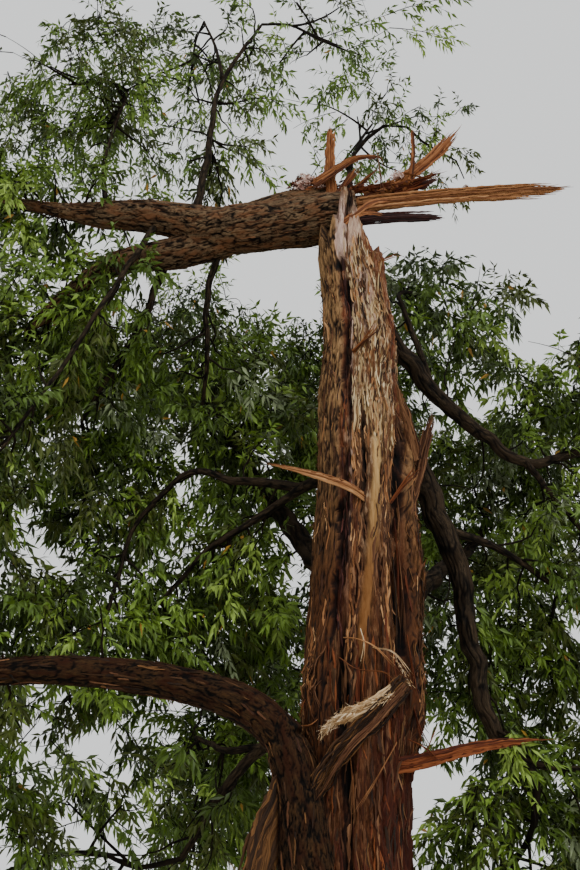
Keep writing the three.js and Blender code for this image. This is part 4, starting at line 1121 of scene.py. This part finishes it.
masses = [
    ("foliage_top_left", "branch_upright_left", (-2850, 650, 11350), (1100, 1050, 850), 0.48),
    ("foliage_leader", "toppled_leader", (-4050, 150, 9750), (950, 1150, 1050), 0.9),
    ("foliage_left_high", "toppled_limb", (-3050, 1000, 7950), (1050, 1100, 950), 0.9),
    ("foliage_left_inner", "branch_hanging_left", (-2350, 1550, 6850), (1000, 1000, 950), 0.9),
    ("foliage_middle_left", "branch_hanging_middle", (-900, 1850, 7450), (900, 1000, 950), 0.85),
    ("foliage_front_left", "branch_hanging_front", (-3550, -150, 5950), (950, 950, 950), 0.85),
    ("foliage_left_drop", "bough_left_middle_drop", (-2750, 1000, 4950), (950, 1000, 850), 0.62),
    ("foliage_left_core", "bough_left_middle_fork", (-1350, 1650, 5500), (900, 950, 900), 0.85),
    ("foliage_low_left", "bough_left_low", (-2100, 1150, 3350), (1050, 1050, 850), 0.27),
    ("foliage_left_riser", "bough_left_low_riser", (-1200, 2200, 4150), (950, 1000, 850), 0.75),
    ("foliage_lower_bough", "bough_lower_left", (-3800, 250, 3850), (1050, 1150, 950), 0.24),
    ("foliage_crest", "branch_upright", (-250, 650, 12050), (1000, 1000, 750), 0.15),
    ("foliage_crest_left", "branch_upright_fork", (-1720, 1200, 12000), (900, 950, 750), 0.26),
    ("foliage_right_high", "bough_right_upper", (2550, 1350, 7850), (1000, 1100, 900), 0.62),
    ("foliage_right_middle", "bough_right_upper_fork", (2700, 1500, 5950), (950, 1150, 900), 0.8),
    ("foliage_right_top", "bough_right_riser", (1120, 1750, 8900), (850, 900, 850), 0.5),
    ("foliage_right_core", "bough_right_lower_fork", (1560, 1950, 5150), (850, 950, 850), 0.8),
    ("foliage_low_right", "bough_right_lower", (1300, 1550, 3300), (1050, 1100, 850), 0.62),
    ("foliage_right_foot", "bough_right_foot", (2600, 1300, 4250), (950, 1050, 850), 0.62),
    ("foliage_rear_top", "bough_rear_top", (400, 2350, 12250), (1150, 1050, 850), 0.24),
    ("foliage_rear_middle", "bough_rear_middle", (0, 3200, 8900), (1200, 1050, 1100), 0.8),
    ("foliage_rear_left", "bough_rear_left", (-1650, 2900, 9150), (1150, 1100, 1050), 0.8),
    ("foliage_rear_right", "bough_rear_right", (1650, 3150, 7400), (1200, 1150, 1150), 0.7),
    ("foliage_rear_low", "bough_rear_low", (-50, 3250, 5500), (1350, 1150, 1250), 0.7),
]
centres = np.array([mass[2] for mass in masses]) * mm
reaches = np.array([mass[3] for mass in masses]) * mm

growthLook = {
    "seed": 2024,
    "twigsPerMass": 6,
    "spraysPerTwig": 3,
    "sprayLength": 0.82,
    "sprayGap": 0.17,
    "limbAir": 0.04,
    "leafAir": 0.03,
    "trunkTop": 9.4,         # above it the trunk is in no twig's way
    "limbStep": 0.07,        # between the places at which limbs are measured
    "sprayDroop": 0.2,
    "branchlets": 205,       # finer twigs in a full mass
    "longestBranchlet": 1.1,
    "bareFoot": 0.12,        # share of a twig without shoots
    "shootGap": 0.058,       # from one leafy shoot to the next
    "shootTurn": 2.4,        # radians about the twig, from one shoot to the next
    "shootLength": (0.16, 0.34),
    "leavesPerShoot": 11,
    "leafOpening": (72, 26), # degrees between a leaf and its shoot, at its foot and at its tip
    "leafLength": (0.095, 0.145),
    "leafWidth": 0.3,        # of its length
    "boxGap": 0.02,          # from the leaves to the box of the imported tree
    "twigBoxGap": 0.05,      # the same from loose twigs, for room for their leaves
    "stemRadius": (0.043, 0.022),
    "twigRadius": (0.016, 0.008),
    "branchletRadius": (0.0065, 0.003),
    "shootRadius": (0.0026, 0.0016),
    "sideTwigGap": 0.12,
    "sideTwigRadius": (0.0125, 0.003),
    "sideTwigLength": (0.25, 0.85),
    "sprigLength": (0.4, 0.85),
    "crookedSteps": 8,
    "strayShare": 0.24,      # of the finer twigs carry one that strays past the mass
    "strayFrom": 0.62,       # and only those that end beyond this share of its reach
    "strayLength": (0.3, 0.75),
    "dyingShare": 0.005,     # of the leaves have turned yellow
    "highAbove": 9.3,
    "highLeaves": 0.8,       # length of leaves above the break, against the others
    "crookedRadius": (0.028, 0.007),
    "looseReach": 1.5,       # how far leaves on side twigs may stand from a mass, in its reaches
    "looseTwigs": 1.3,       # farther out than this side twigs are few
    "bareTwigs": 0.15,       # share of those that are kept
    "lobeReach": 1.12,
    "lobeCut": 0.46,         # how deep the hollows between a mass's lobes go, in its reaches
    "windowSize": 0.27,      # metres from one gap in the leaves to the next
}
# one leaf green, painted darker for leaves in shade and lighter for lit leaves, with a grey-green painted
# sheen; the yellow is the colour of dying leaves
leafTints = {
    "deep": ("#3d4f14", 0.18),
    "deepWarm": ("#4c5719", 0.18),
    "shaded": ("#546d20", 0.19),
    "full": ("#65802a", 0.19),
    "lit": ("#769333", 0.14),
    "fresh": ("#8ba543", 0.07),
    "paintedSheen": ("#88956c", 0.05),
    "yellow": ("#ad8430", 0.0),
}


def makeRandom(seed):
    state = [seed & 0xFFFFFFFF]

    def draw():
        state[0] = (state[0] * 1664525 + 1013904223) & 0xFFFFFFFF
        return state[0] / 4294967296
    return draw


def sampleLimbs():
    places, radii = [], []
    for name, course in limbCourses.items():
        shares = np.linspace(0, 1, math.ceil(course["length"] / growthLook["limbStep"]) + 1)
        places.append(follow(course, shares))
        radii.append(limbRadius(name, shares))
    return np.vstack(places), np.concatenate(radii)


limbPlaces, limbRadii = sampleLimbs()


def isInBox(places, gap):
    return np.all((places > np.array(cadLow) + gap) & (places < np.array(cadHigh) - gap), axis=1)


def inOwnSpace(index, places, edge=1.0, apart=0.04):
    depths = np.linalg.norm((places[:, None, :] - centres) / reaches, axis=2)
    own = depths[:, index]
    others = np.delete(depths, index, axis=1).min(axis=1)
    return (own < edge) & (others > own + apart) & isInBox(places, growthLook["boxGap"])


def clearOfLimbs(places, air):
    middle, radius = corePlace(places[:, 2])
    fromTrunk = np.hypot(places[:, 0] - middle, places[:, 1]) - radius - trunkLook["bark"]
    free = (places[:, 2] > growthLook["trunkTop"]) | (fromTrunk >= air)
    apart = np.linalg.norm(places[:, None, :] - limbPlaces, axis=2) - limbRadii
    return free & (apart.min(axis=1) > air)


def lineIsFree(index, points, air):
    return bool(np.all(inOwnSpace(index, points)) and np.all(clearOfLimbs(points, air)))


def straight(start, end, count=9):
    return start + (end - start) * np.linspace(0, 1, count)[:, None]


def turnAbout(vector, axis, angle):
    return (vector * math.cos(angle) + np.cross(axis, vector) * math.sin(angle)
            + axis * axis.dot(vector) * (1 - math.cos(angle)))


def stemCourse(index):
    limb = masses[index][1]
    tip, heading = follow(limbCourses[limb], 1.0), unit(follow(limbCourses[limb], 1.0, "along"))
    centre, reach = centres[index], reaches[index]
    far = centre + 0.3 * unit(centre - tip) * reach
    bend = tip + 0.45 * (centre - tip) + 0.09 * heading
    return courseThrough([tuple(p / mm) for p in (tip - 0.012 * heading, bend, centre, far)])


def sourceTwigs(index, stem):
    look, seed, twigs = growthLook, index + 1, []
    for i in range(look["twigsPerMass"]):
        random = makeRandom(seed * 7919 + i * 131)
        rise = 1 - 2 * (i + 0.5) / look["twigsPerMass"]
        turn, ring = i * goldenAngle + seed, math.sqrt(1 - rise * rise)
        outward = np.array((ring * math.cos(turn), ring * math.sin(turn), rise))
        start = follow(stem, 0.4 + 0.5 * ((i * 5) % look["twigsPerMass"]) / look["twigsPerMass"])
        end = centres[index] + outward * reaches[index] * (0.5 + 0.14 * random())
        if lineIsFree(index, straight(start, end)[1:], look["limbAir"]):
            twigs.append((start, end, seed * 1009 + i * 53))
    return twigs


def sourceSprays(index, twigs):
    look, sprays = growthLook, []
    taken = [start + (end - start) * share for start, end, _ in twigs for share in (0.15, 0.4, 0.65)]
    for start, end, twigSeed in twigs:
        run = unit(end - start)
        for place in range(look["spraysPerTwig"] - 1, -1, -1):
            random, isLast = makeRandom(twigSeed + place), place == look["spraysPerTwig"] - 1
            base = start + (end - start) * (0.94 if isLast else 0.45 + 0.27 * place)
            for attempt in range(5):
                size = look["sprayLength"] * (0.85 + 0.3 * random()) * (1 if attempt < 2 else 0.68)
                lean = (1 if place % 2 == 0 else -1) * (0.75 + 0.45 * random())
                roll = 2 * math.pi * random()
                # the source draws the spray's tilt here
                random()
                level = turnAbout(unit(np.array((-run[1], run[0], 0.001))), run, roll)
                direction = turnAbout(run, level, 0.3 * lean if isLast else lean)
                direction = unit(direction - (0, 0, look["sprayDroop"]))
                marks = [base + direction * size * share for share in (0.3, 0.5, 0.75, 1)]
                isApart = all(np.linalg.norm(a - b) > look["sprayGap"] for a in marks for b in taken)
                if isApart and lineIsFree(index, straight(base, marks[3])[1:], look["limbAir"]):
                    taken.extend(marks)
                    sprays.append((base, marks[3]))
                    break
    return sprays


# Finer twigs: each grows from the nearest wood towards one of many places spread through the mass
def finerTwigs(index, wood, rng):
    share = masses[index][4]
    count = int(growthLook["branchlets"] * share * np.prod(reaches[index]) ** (2 / 3))
    lines = []
    for k in range(count):
        depth = (0.12 + 0.84 * (k + 0.5) / count) ** (1 / 3)
        rise = 1 - 2 * ((k * 0.7548777) % 1)
        turn, ring = k * goldenAngle + index, math.sqrt(max(0, 1 - rise * rise))
        outward = np.array((ring * math.cos(turn), ring * math.sin(turn), rise))
        target = centres[index] + outward * reaches[index] * depth * rng.uniform(0.88, 1.0)
        if depth > lobeEdge(index, target[None])[0]:
            continue
        distances = np.linalg.norm(wood - target, axis=1)
        root = wood[np.argmin(distances + (distances < 0.12) * 9)]
        bow = rng.normal(0, 0.06, 3) + (0, 0, 0.09)
        way = np.linspace(0, 1, 6)[:, None]
        line = root + (target - root) * way + bow * (way * (1 - way) * 4) - (0, 0, 0.07) * way ** 3
        isShort = np.linalg.norm(target - root) < growthLook["longestBranchlet"]
        if isShort and lineIsFree(index, line[1:], growthLook["limbAir"]):
            lines.append(line)
            wood = np.vstack([wood, line[2:]])
    return lines


# Twigs that stray past a mass, so that it has no smooth edge
def strayTwigs(index, lines, rng):
    strays, way = [], np.linspace(0, 1, 6)[:, None]
    for line in lines:
        outward = (line[-1] - centres[index]) / reaches[index]
        depth = np.linalg.norm(outward)
        if depth < growthLook["strayFrom"] or rng.random() > growthLook["strayShare"]:
            continue
        heading = unit(unit(outward) + rng.normal(0, 0.45, 3))
        stray = line[-1] + heading * rng.uniform(*growthLook["strayLength"]) * way - (0, 0, 0.12) * way ** 2
        isFree = clearOfLimbs(stray[1:], growthLook["limbAir"]).all()
        if isFree and isInBox(stray, growthLook["twigBoxGap"]).all():
            strays.append(stray)
    return strays


# Tubes with three or more sides along many lines at once, as arrays of places and triangles:
# round ones, or flat ones that face a given way
def tubesAlong(lines, radii, sides, facing=None, flat=1.0):
    lines, count = np.asarray(lines, float), len(lines)
    steps = lines.shape[1]
    heading = np.gradient(lines, axis=1)
    heading /= np.linalg.norm(heading, axis=2)[..., None] + 1e-12
    reference = facing
    if facing is None:
        reference = np.where(np.abs(heading[:, :1, 2:]) > 0.9, (1.0, 0, 0), (0, 0, 1.0))
    side = np.cross(heading, reference)
    side /= np.linalg.norm(side, axis=2)[..., None]
    up = np.cross(heading, side) * flat
    turns = 2 * math.pi * np.arange(sides) / sides
    ring = side[:, :, None, :] * np.cos(turns)[:, None] + up[:, :, None, :] * np.sin(turns)[:, None]
    places = lines[:, :, None, :] + ring * np.asarray(radii)[:, :, None, None]
    base = np.arange(count)[:, None, None] * steps * sides
    row = np.arange(steps - 1)[None, :, None] * sides
    a = base + row + np.arange(sides)
    b = base + row + (np.arange(sides) + 1) % sides
    walls = np.concatenate([np.stack([a, b, b + sides], -1).reshape(-1, 3),
                            np.stack([a, b + sides, a + sides], -1).reshape(-1, 3)])
    fan = np.array([(0, i + 1, i) for i in range(1, sides - 1)])
    foot = (base + fan[None]).reshape(-1, 3)
    tip = (base + (steps - 1) * sides + fan[None][..., [0, 2, 1]]).reshape(-1, 3)
    return places.reshape(-1, 3), np.concatenate([walls, foot, tip])


def meshFromTriangles(name, groups):
    places, triangles, start = [], [], 0
    for groupPlaces, groupTriangles in groups:
        places.append(groupPlaces)
        triangles.append(groupTriangles + start)
        start += len(groupPlaces)
    places, triangles = np.vstack(places), np.vstack(triangles)
    mesh = bpy.data.meshes.new(name)
    mesh.vertices.add(len(places))
    mesh.vertices.foreach_set("co", places.astype(np.float32).ravel())
    mesh.loops.add(triangles.size)
    mesh.loops.foreach_set("vertex_index", triangles.astype(np.int32).ravel())
    mesh.polygons.add(len(triangles))
    mesh.polygons.foreach_set("loop_start", np.arange(0, triangles.size, 3, dtype=np.int32))
    mesh.update(calc_edges=True)
    mesh.validate()
    piece = bpy.data.objects.new(name, mesh)
    bpy.context.scene.collection.objects.link(piece)
    return piece


# One leaf: narrow, widest below the middle, folded along its rib, its tip hanging.
# Each row: share of the length, of the width, height in widths, and share of the hanging tip.
leafShape = np.array([(0, 0, 0, 0), (0.45, 0, -0.12, 0.2), (1, 0, 0, 1.0),
                      (0.36, 0.5, 0.06, 0.15), (0.36, -0.5, 0.06, 0.15)])
leafFaces = np.array([(0, 3, 1), (1, 3, 2), (0, 1, 4), (1, 2, 4)])


def normalise(vectors):
    return vectors / (np.linalg.norm(vectors, axis=-1, keepdims=True) + 1e-12)


# Leaves of many shoots at once: where each starts, its direction, its upper side and its length
def leavesOn(starts, headings, lengths, rng):
    look, count = growthLook, growthLook["leavesPerShoot"]
    n = len(starts)
    place = np.linspace(0.1, 1.0, count)[None, :] + rng.uniform(-0.05, 0.05, (n, count))
    turn = np.arange(count)[None, :] * goldenAngle + rng.uniform(0, 2 * math.pi, (n, 1))
    opened = np.radians(np.linspace(*look["leafOpening"], count)[None, :] + rng.uniform(-16, 16, (n, count)))
    side = normalise(np.cross(headings, (0.31, 0.17, 0.93)))
    up = np.cross(headings, side)
    around = side[:, None] * np.cos(turn)[..., None] + up[:, None] * np.sin(turn)[..., None]
    ways = headings[:, None] * np.cos(opened)[..., None] + around * np.sin(opened)[..., None]
    ways = normalise(ways - np.array((0, 0, 1)) * rng.uniform(0.15, 0.85, (n, count, 1)))
    roots = starts[:, None] + headings[:, None] * (place * lengths[:, None])[..., None]
    faces = rng.normal(0, 0.75, (n, count, 3)) + np.array((0, 0, 0.8))
    faces = normalise(faces - ways * (faces * ways).sum(-1, keepdims=True))
    sizes = rng.uniform(*look["leafLength"], (n, count))
    return roots.reshape(-1, 3), ways.reshape(-1, 3), faces.reshape(-1, 3), sizes.ravel()


def leafMesh(roots, ways, faces, sizes):
    across = np.cross(faces, ways)
    length = sizes[:, None, None]
    wide = length * growthLook["leafWidth"]
    along, aside, raised, hanging = np.moveaxis(leafShape[None, :, :, None], 2, 0)
    places = (roots[:, None] + ways[:, None] * along * length + across[:, None] * aside * wide
              + faces[:, None] * raised * wide - np.array((0, 0, 0.14)) * hanging ** 2 * length)
    start = np.arange(len(roots))[:, None, None] * len(leafShape)
    return places.reshape(-1, 3), (leafFaces[None] + start).reshape(-1, 3)


# Living leaf: smooth upper skin with a soft gloss, one plain green to each spray, which is painted darker for
# shade or lighter for light
def livingLeaf(tint, colour):
    material, tree = newMaterial("living leaf, " + tint)
    place = addNode(tree, "TexCoord").outputs["Object"]
    shade = addRamp(tree, addNoise(tree, place, 9, 2), [(0.35, "#c9c9c9"), (0.65, "#ffffff")])
    endMaterial(tree, mixColours(tree, 1.0, shade, linear(colour), "MULTIPLY"), 0.5, 0.32)
    return material


def makeFoliage(twigBark):
    look = growthLook
    rng = np.random.default_rng(look["seed"])
    stems, twigLines, fineLines, shootLines = [], [], [], []
    leafParts = {name: [] for name in leafTints}
    for index in range(len(masses)):
        stem = stemCourse(index)
        shares = np.linspace(0, 1, 14)
        limb = masses[index][1]
        endRadius = min(limbs[limb][1] * mm * slimShare(limb), look["stemRadius"][0])
        radii = endRadius + (look["stemRadius"][1] * 0.6 - endRadius) * shares
        stems.append((follow(stem, shares), radii))
        twigs = sourceTwigs(index, stem)
        sprays = sourceSprays(index, twigs)
        twigLines += [bowed(start, end, rng, 7) for start, end, _ in twigs]
        sprayLines = [bowed(base, tip, rng, 6) for base, tip in sprays]
        wood = np.vstack([follow(stem, np.linspace(0.35, 1, 12))]
                         + [straight(start, end, 8)[1:] for start, end, _ in twigs]
                         + [line[1:] for line in sprayLines])
        lines = sprayLines + finerTwigs(index, wood, rng)
        strays = strayTwigs(index, lines, rng)
        fineLines += lines + strays
        growShoots("free", strays, rng, shootLines, leafParts)
        growShoots(index, lines, rng, shootLines, leafParts)
    sideLines = sideTwigs(rng)
    growShoots(None, sideLines, rng, shootLines, leafParts)
    sprigs = leafySprigs(rng)
    growShoots("free", sprigs, rng, shootLines, leafParts)
    sideLines += sprigs
    nodes = [mass[0] for mass in masses]
    for name, (colour, _) in leafTints.items():
        arrays = [np.concatenate(parts) for parts in zip(*leafParts[name])]
        piece = meshFromTriangles("leaves_" + name, [leafMesh(*arrays)])
        dress(piece, livingLeaf(name, colour), nodes, smooth=False)
        print("leaves", name, len(piece.data.polygons), "triangles")
    sideRadii = taperedRadii(look["sideTwigRadius"], sideLines)
    sideRadii[0] = np.linspace(*look["crookedRadius"], len(sideLines[0]))
    wood = [tubesAlong([line for line, _ in stems], [radii for _, radii in stems], 8),
            tubesAlong(twigLines, taperedRadii(look["twigRadius"], twigLines), 5),
            tubesAlong(fineLines, taperedRadii(look["branchletRadius"], fineLines), 3),
            tubesAlong(sideLines, sideRadii, 6)]
    dress(meshFromTriangles("twigs", wood), twigBark, nodes)
    shoots = tubesAlong(shootLines, taperedRadii(look["shootRadius"], shootLines), 3)
    dress(meshFromTriangles("leafy_shoots", [shoots]), twigBark, nodes)
    print("foliage made:", len(fineLines), "twigs,", len(shootLines), "shoots")


# Radii from root to tip for each of many lines
def taperedRadii(ends, lines):
    return np.linspace(*ends, len(lines[0]))[None].repeat(len(lines), 0)


# Crooked side twigs along the limbs, thinning out into the open
def sideTwigs(rng):
    overBreak = [(120, 1960, 11300), (250, 2000, 11630), (610, 2000, 12030), (920, 2000, 11970),
                 (1140, 2000, 11610), (1360, 2000, 11600), (1510, 2000, 11180)]
    lines = [follow(courseThrough(overBreak), np.linspace(0, 1, 9))]
    for name, course in limbCourses.items():
        if name == "toppled_top" or name.endswith("stem"):
            continue
        for _ in range(int(course["length"] / growthLook["sideTwigGap"])):
            share = rng.uniform(0.2, 0.97)
            backward = 0 if "rear" in name or "toppled" in name else 0.35
            heading = follow(course, share, "along") * 0.7 + rng.normal(0, 0.7, 3) + (0, backward, -0.15)
            length = rng.uniform(*growthLook["sideTwigLength"]) * (1.15 - 0.4 * share)
            line = crookedLine(follow(course, share), heading, length, rng)
            middle, radius = corePlace(line[:, 2])
            isOut = np.hypot(line[:, 0] - middle, line[:, 1]) > radius + 0.12
            depth = np.linalg.norm((line[-1] - centres) / reaches, axis=1).min()
            isWanted = depth < growthLook["looseTwigs"] or rng.random() < growthLook["bareTwigs"]
            if isWanted and isInBox(line, growthLook["twigBoxGap"]).all() and isOut[2:].all():
                lines.append(line)
    return lines


def crookedLine(start, heading, length, rng):
    line, steps = [start], growthLook["crookedSteps"]
    for _ in range(steps):
        heading = unit(unit(heading) + rng.normal(0, 0.27, 3) - (0, 0, 0.03))
        line.append(line[-1] + heading * length / steps)
    return np.array(line)


# Leafy sprigs free of the masses: limb, shares of its length, how many, and which way they lean
freeSprigs = [
    ("branch_upright", 0.2, 0.6, 9, (0.9, 0.8, 0.1)),
    ("branch_upright", 0.3, 0.5, 2, (-0.9, 0.6, 0.0)),
    ("branch_upright_left", 0.3, 0.7, 2, (0.3, 0.8, 0.0)),
    ("branch_upright_left", 0.7, 1.0, 12, (-0.9, 0.1, 0.35)),
    ("toppled_leader", 0.46, 0.98, 18, (-0.2, 0.0, 0.3)),
    ("toppled_limb", 0.35, 0.95, 9, (0.0, -0.2, 0.0)),
]


def leafySprigs(rng):
    lines = []
    for name, low, high, count, lean in freeSprigs:
        for _ in range(count):
            start = follow(limbCourses[name], rng.uniform(low, high))
            heading = unit(np.array(lean)) + rng.normal(0, 0.45, 3)
            line = crookedLine(start, heading, rng.uniform(*growthLook["sprigLength"]), rng)
            if isInBox(line, growthLook["twigBoxGap"]).all():
                lines.append(line)
    return lines


def bowed(start, end, rng, count):
    way = np.linspace(0, 1, count)[:, None]
    bow = rng.normal(0, 0.035, 3) * np.linalg.norm(end - start)
    return start + (end - start) * way + bow * way * (1 - way) * 4


# How far a mass reaches in each direction: lobes with hollows between them
def lobeEdge(index, places):
    outward = normalise((places - centres[index]) / reaches[index])
    hollows = 0.5 + 0.5 * lumps(outward * 1.9 + index * 7.3, 91)
    return growthLook["lobeReach"] - growthLook["lobeCut"] * hollows


# Gaps in the leaves, wider in the sparse masses
def inWindow(index, places):
    return lumps(places / growthLook["windowSize"], 95) < -0.12 - 0.38 * masses[index][4]


def nearAMass(places):
    depths = np.linalg.norm((places[:, None, :] - centres) / reaches, axis=2).min(axis=1)
    thinning = 1 - (depths - 1) / (growthLook["looseReach"] - 1)
    openness = 0.5 + 0.5 * lumps(places / growthLook["windowSize"], 93)
    return (thinning * 1.3 > openness) & (depths > 0.9) & isInBox(places, growthLook["boxGap"])


# Where leaves may stand: anywhere for free sprigs, near a mass for side twigs, in its lobes for a mass
def mayBear(index, places, extra=0.0):
    if index == "free":
        return isInBox(places, growthLook["boxGap"])
    if index is None:
        return nearAMass(places)
    return inOwnSpace(index, places, lobeEdge(index, places) + extra, 0.0)


def growShoots(index, lines, rng, shootLines, leafParts):
    look, names = growthLook, list(leafTints)
    odds = [leafTints[name][1] for name in names]
    for line in lines:
        length = np.linalg.norm(np.diff(line, axis=0), axis=1).sum()
        leafyShare = 1 - look["bareFoot"]
        count = max(3, int(length * leafyShare / look["shootGap"]))
        shares = look["bareFoot"] + leafyShare * (np.arange(count) + 1) / count
        course = {"share": np.linspace(0, 1, len(line)), "points": line,
                  "along": normalise(np.gradient(line, axis=0))}
        starts = follow(course, shares)
        along = normalise(follow(course, shares, "along"))
        turn = np.arange(count) * look["shootTurn"] + rng.uniform(0, 6.28)
        side = normalise(np.cross(along, (0.1, 0.2, 0.97)))
        up = np.cross(along, side)
        around = side * np.cos(turn)[:, None] + up * np.sin(turn)[:, None] * 0.6
        opened = np.where(np.arange(count) == count - 1, 0.1, rng.uniform(0.6, 1.05, count))[:, None]
        ways = normalise(along * np.cos(opened) + around * np.sin(opened) + rng.normal(0, 0.1, (count, 3))
                         - np.array((0, 0, 0.12)))
        lengths = rng.uniform(*look["shootLength"], count)
        ends = starts + ways * lengths[:, None]
        kept = mayBear(index, ends) & clearOfLimbs(ends, look["leafAir"])
        if index not in ("free", None):
            kept &= ~inWindow(index, ends)
        if not kept.any():
            continue
        starts, ways, lengths, ends = starts[kept], ways[kept], lengths[kept], ends[kept]
        shootLines += [np.stack(pair) for pair in zip(starts, ends)]
        roots, leafWays, faces, sizes = leavesOn(starts, ways, lengths, rng)
        tips = roots + leafWays * sizes[:, None]
        whole = mayBear(index, tips, 0.06) & mayBear(index, roots, 0.06)
        whole &= clearOfLimbs(tips, look["leafAir"]) & clearOfLimbs(roots, look["leafAir"])
        sizes = sizes * np.where(roots[:, 2] > look["highAbove"], look["highLeaves"], 1)
        dying = rng.random(len(sizes)) < look["dyingShare"]
        tint = names[rng.choice(len(names), p=odds)]
        for name, part in ((tint, whole & ~dying), ("yellow", whole & dying)):
            leafParts[name].append((roots[part], leafWays[part], faces[part], sizes[part]))


# Twig bark: thin, smooth and dull
def smoothTwigBark():
    material, tree = newMaterial("smooth twig bark")
    place = addNode(tree, "TexCoord").outputs["Object"]
    colour = addRamp(tree, addNoise(tree, place, 12, 3), [(0.35, "#0b0805"), (0.7, "#211910")])
    endMaterial(tree, colour, 0.9, 0.12)
    return material


setStage()
woods = {tint: splitWood(tint) for tint in woodTints}
trunk = makeTrunk(tornHeartwood())
log, bough = makeLimbs()
makeSplinters(woods)
makeStrips(trunk, log, bough, woods)
makeFoliage(smoothTwigBark())
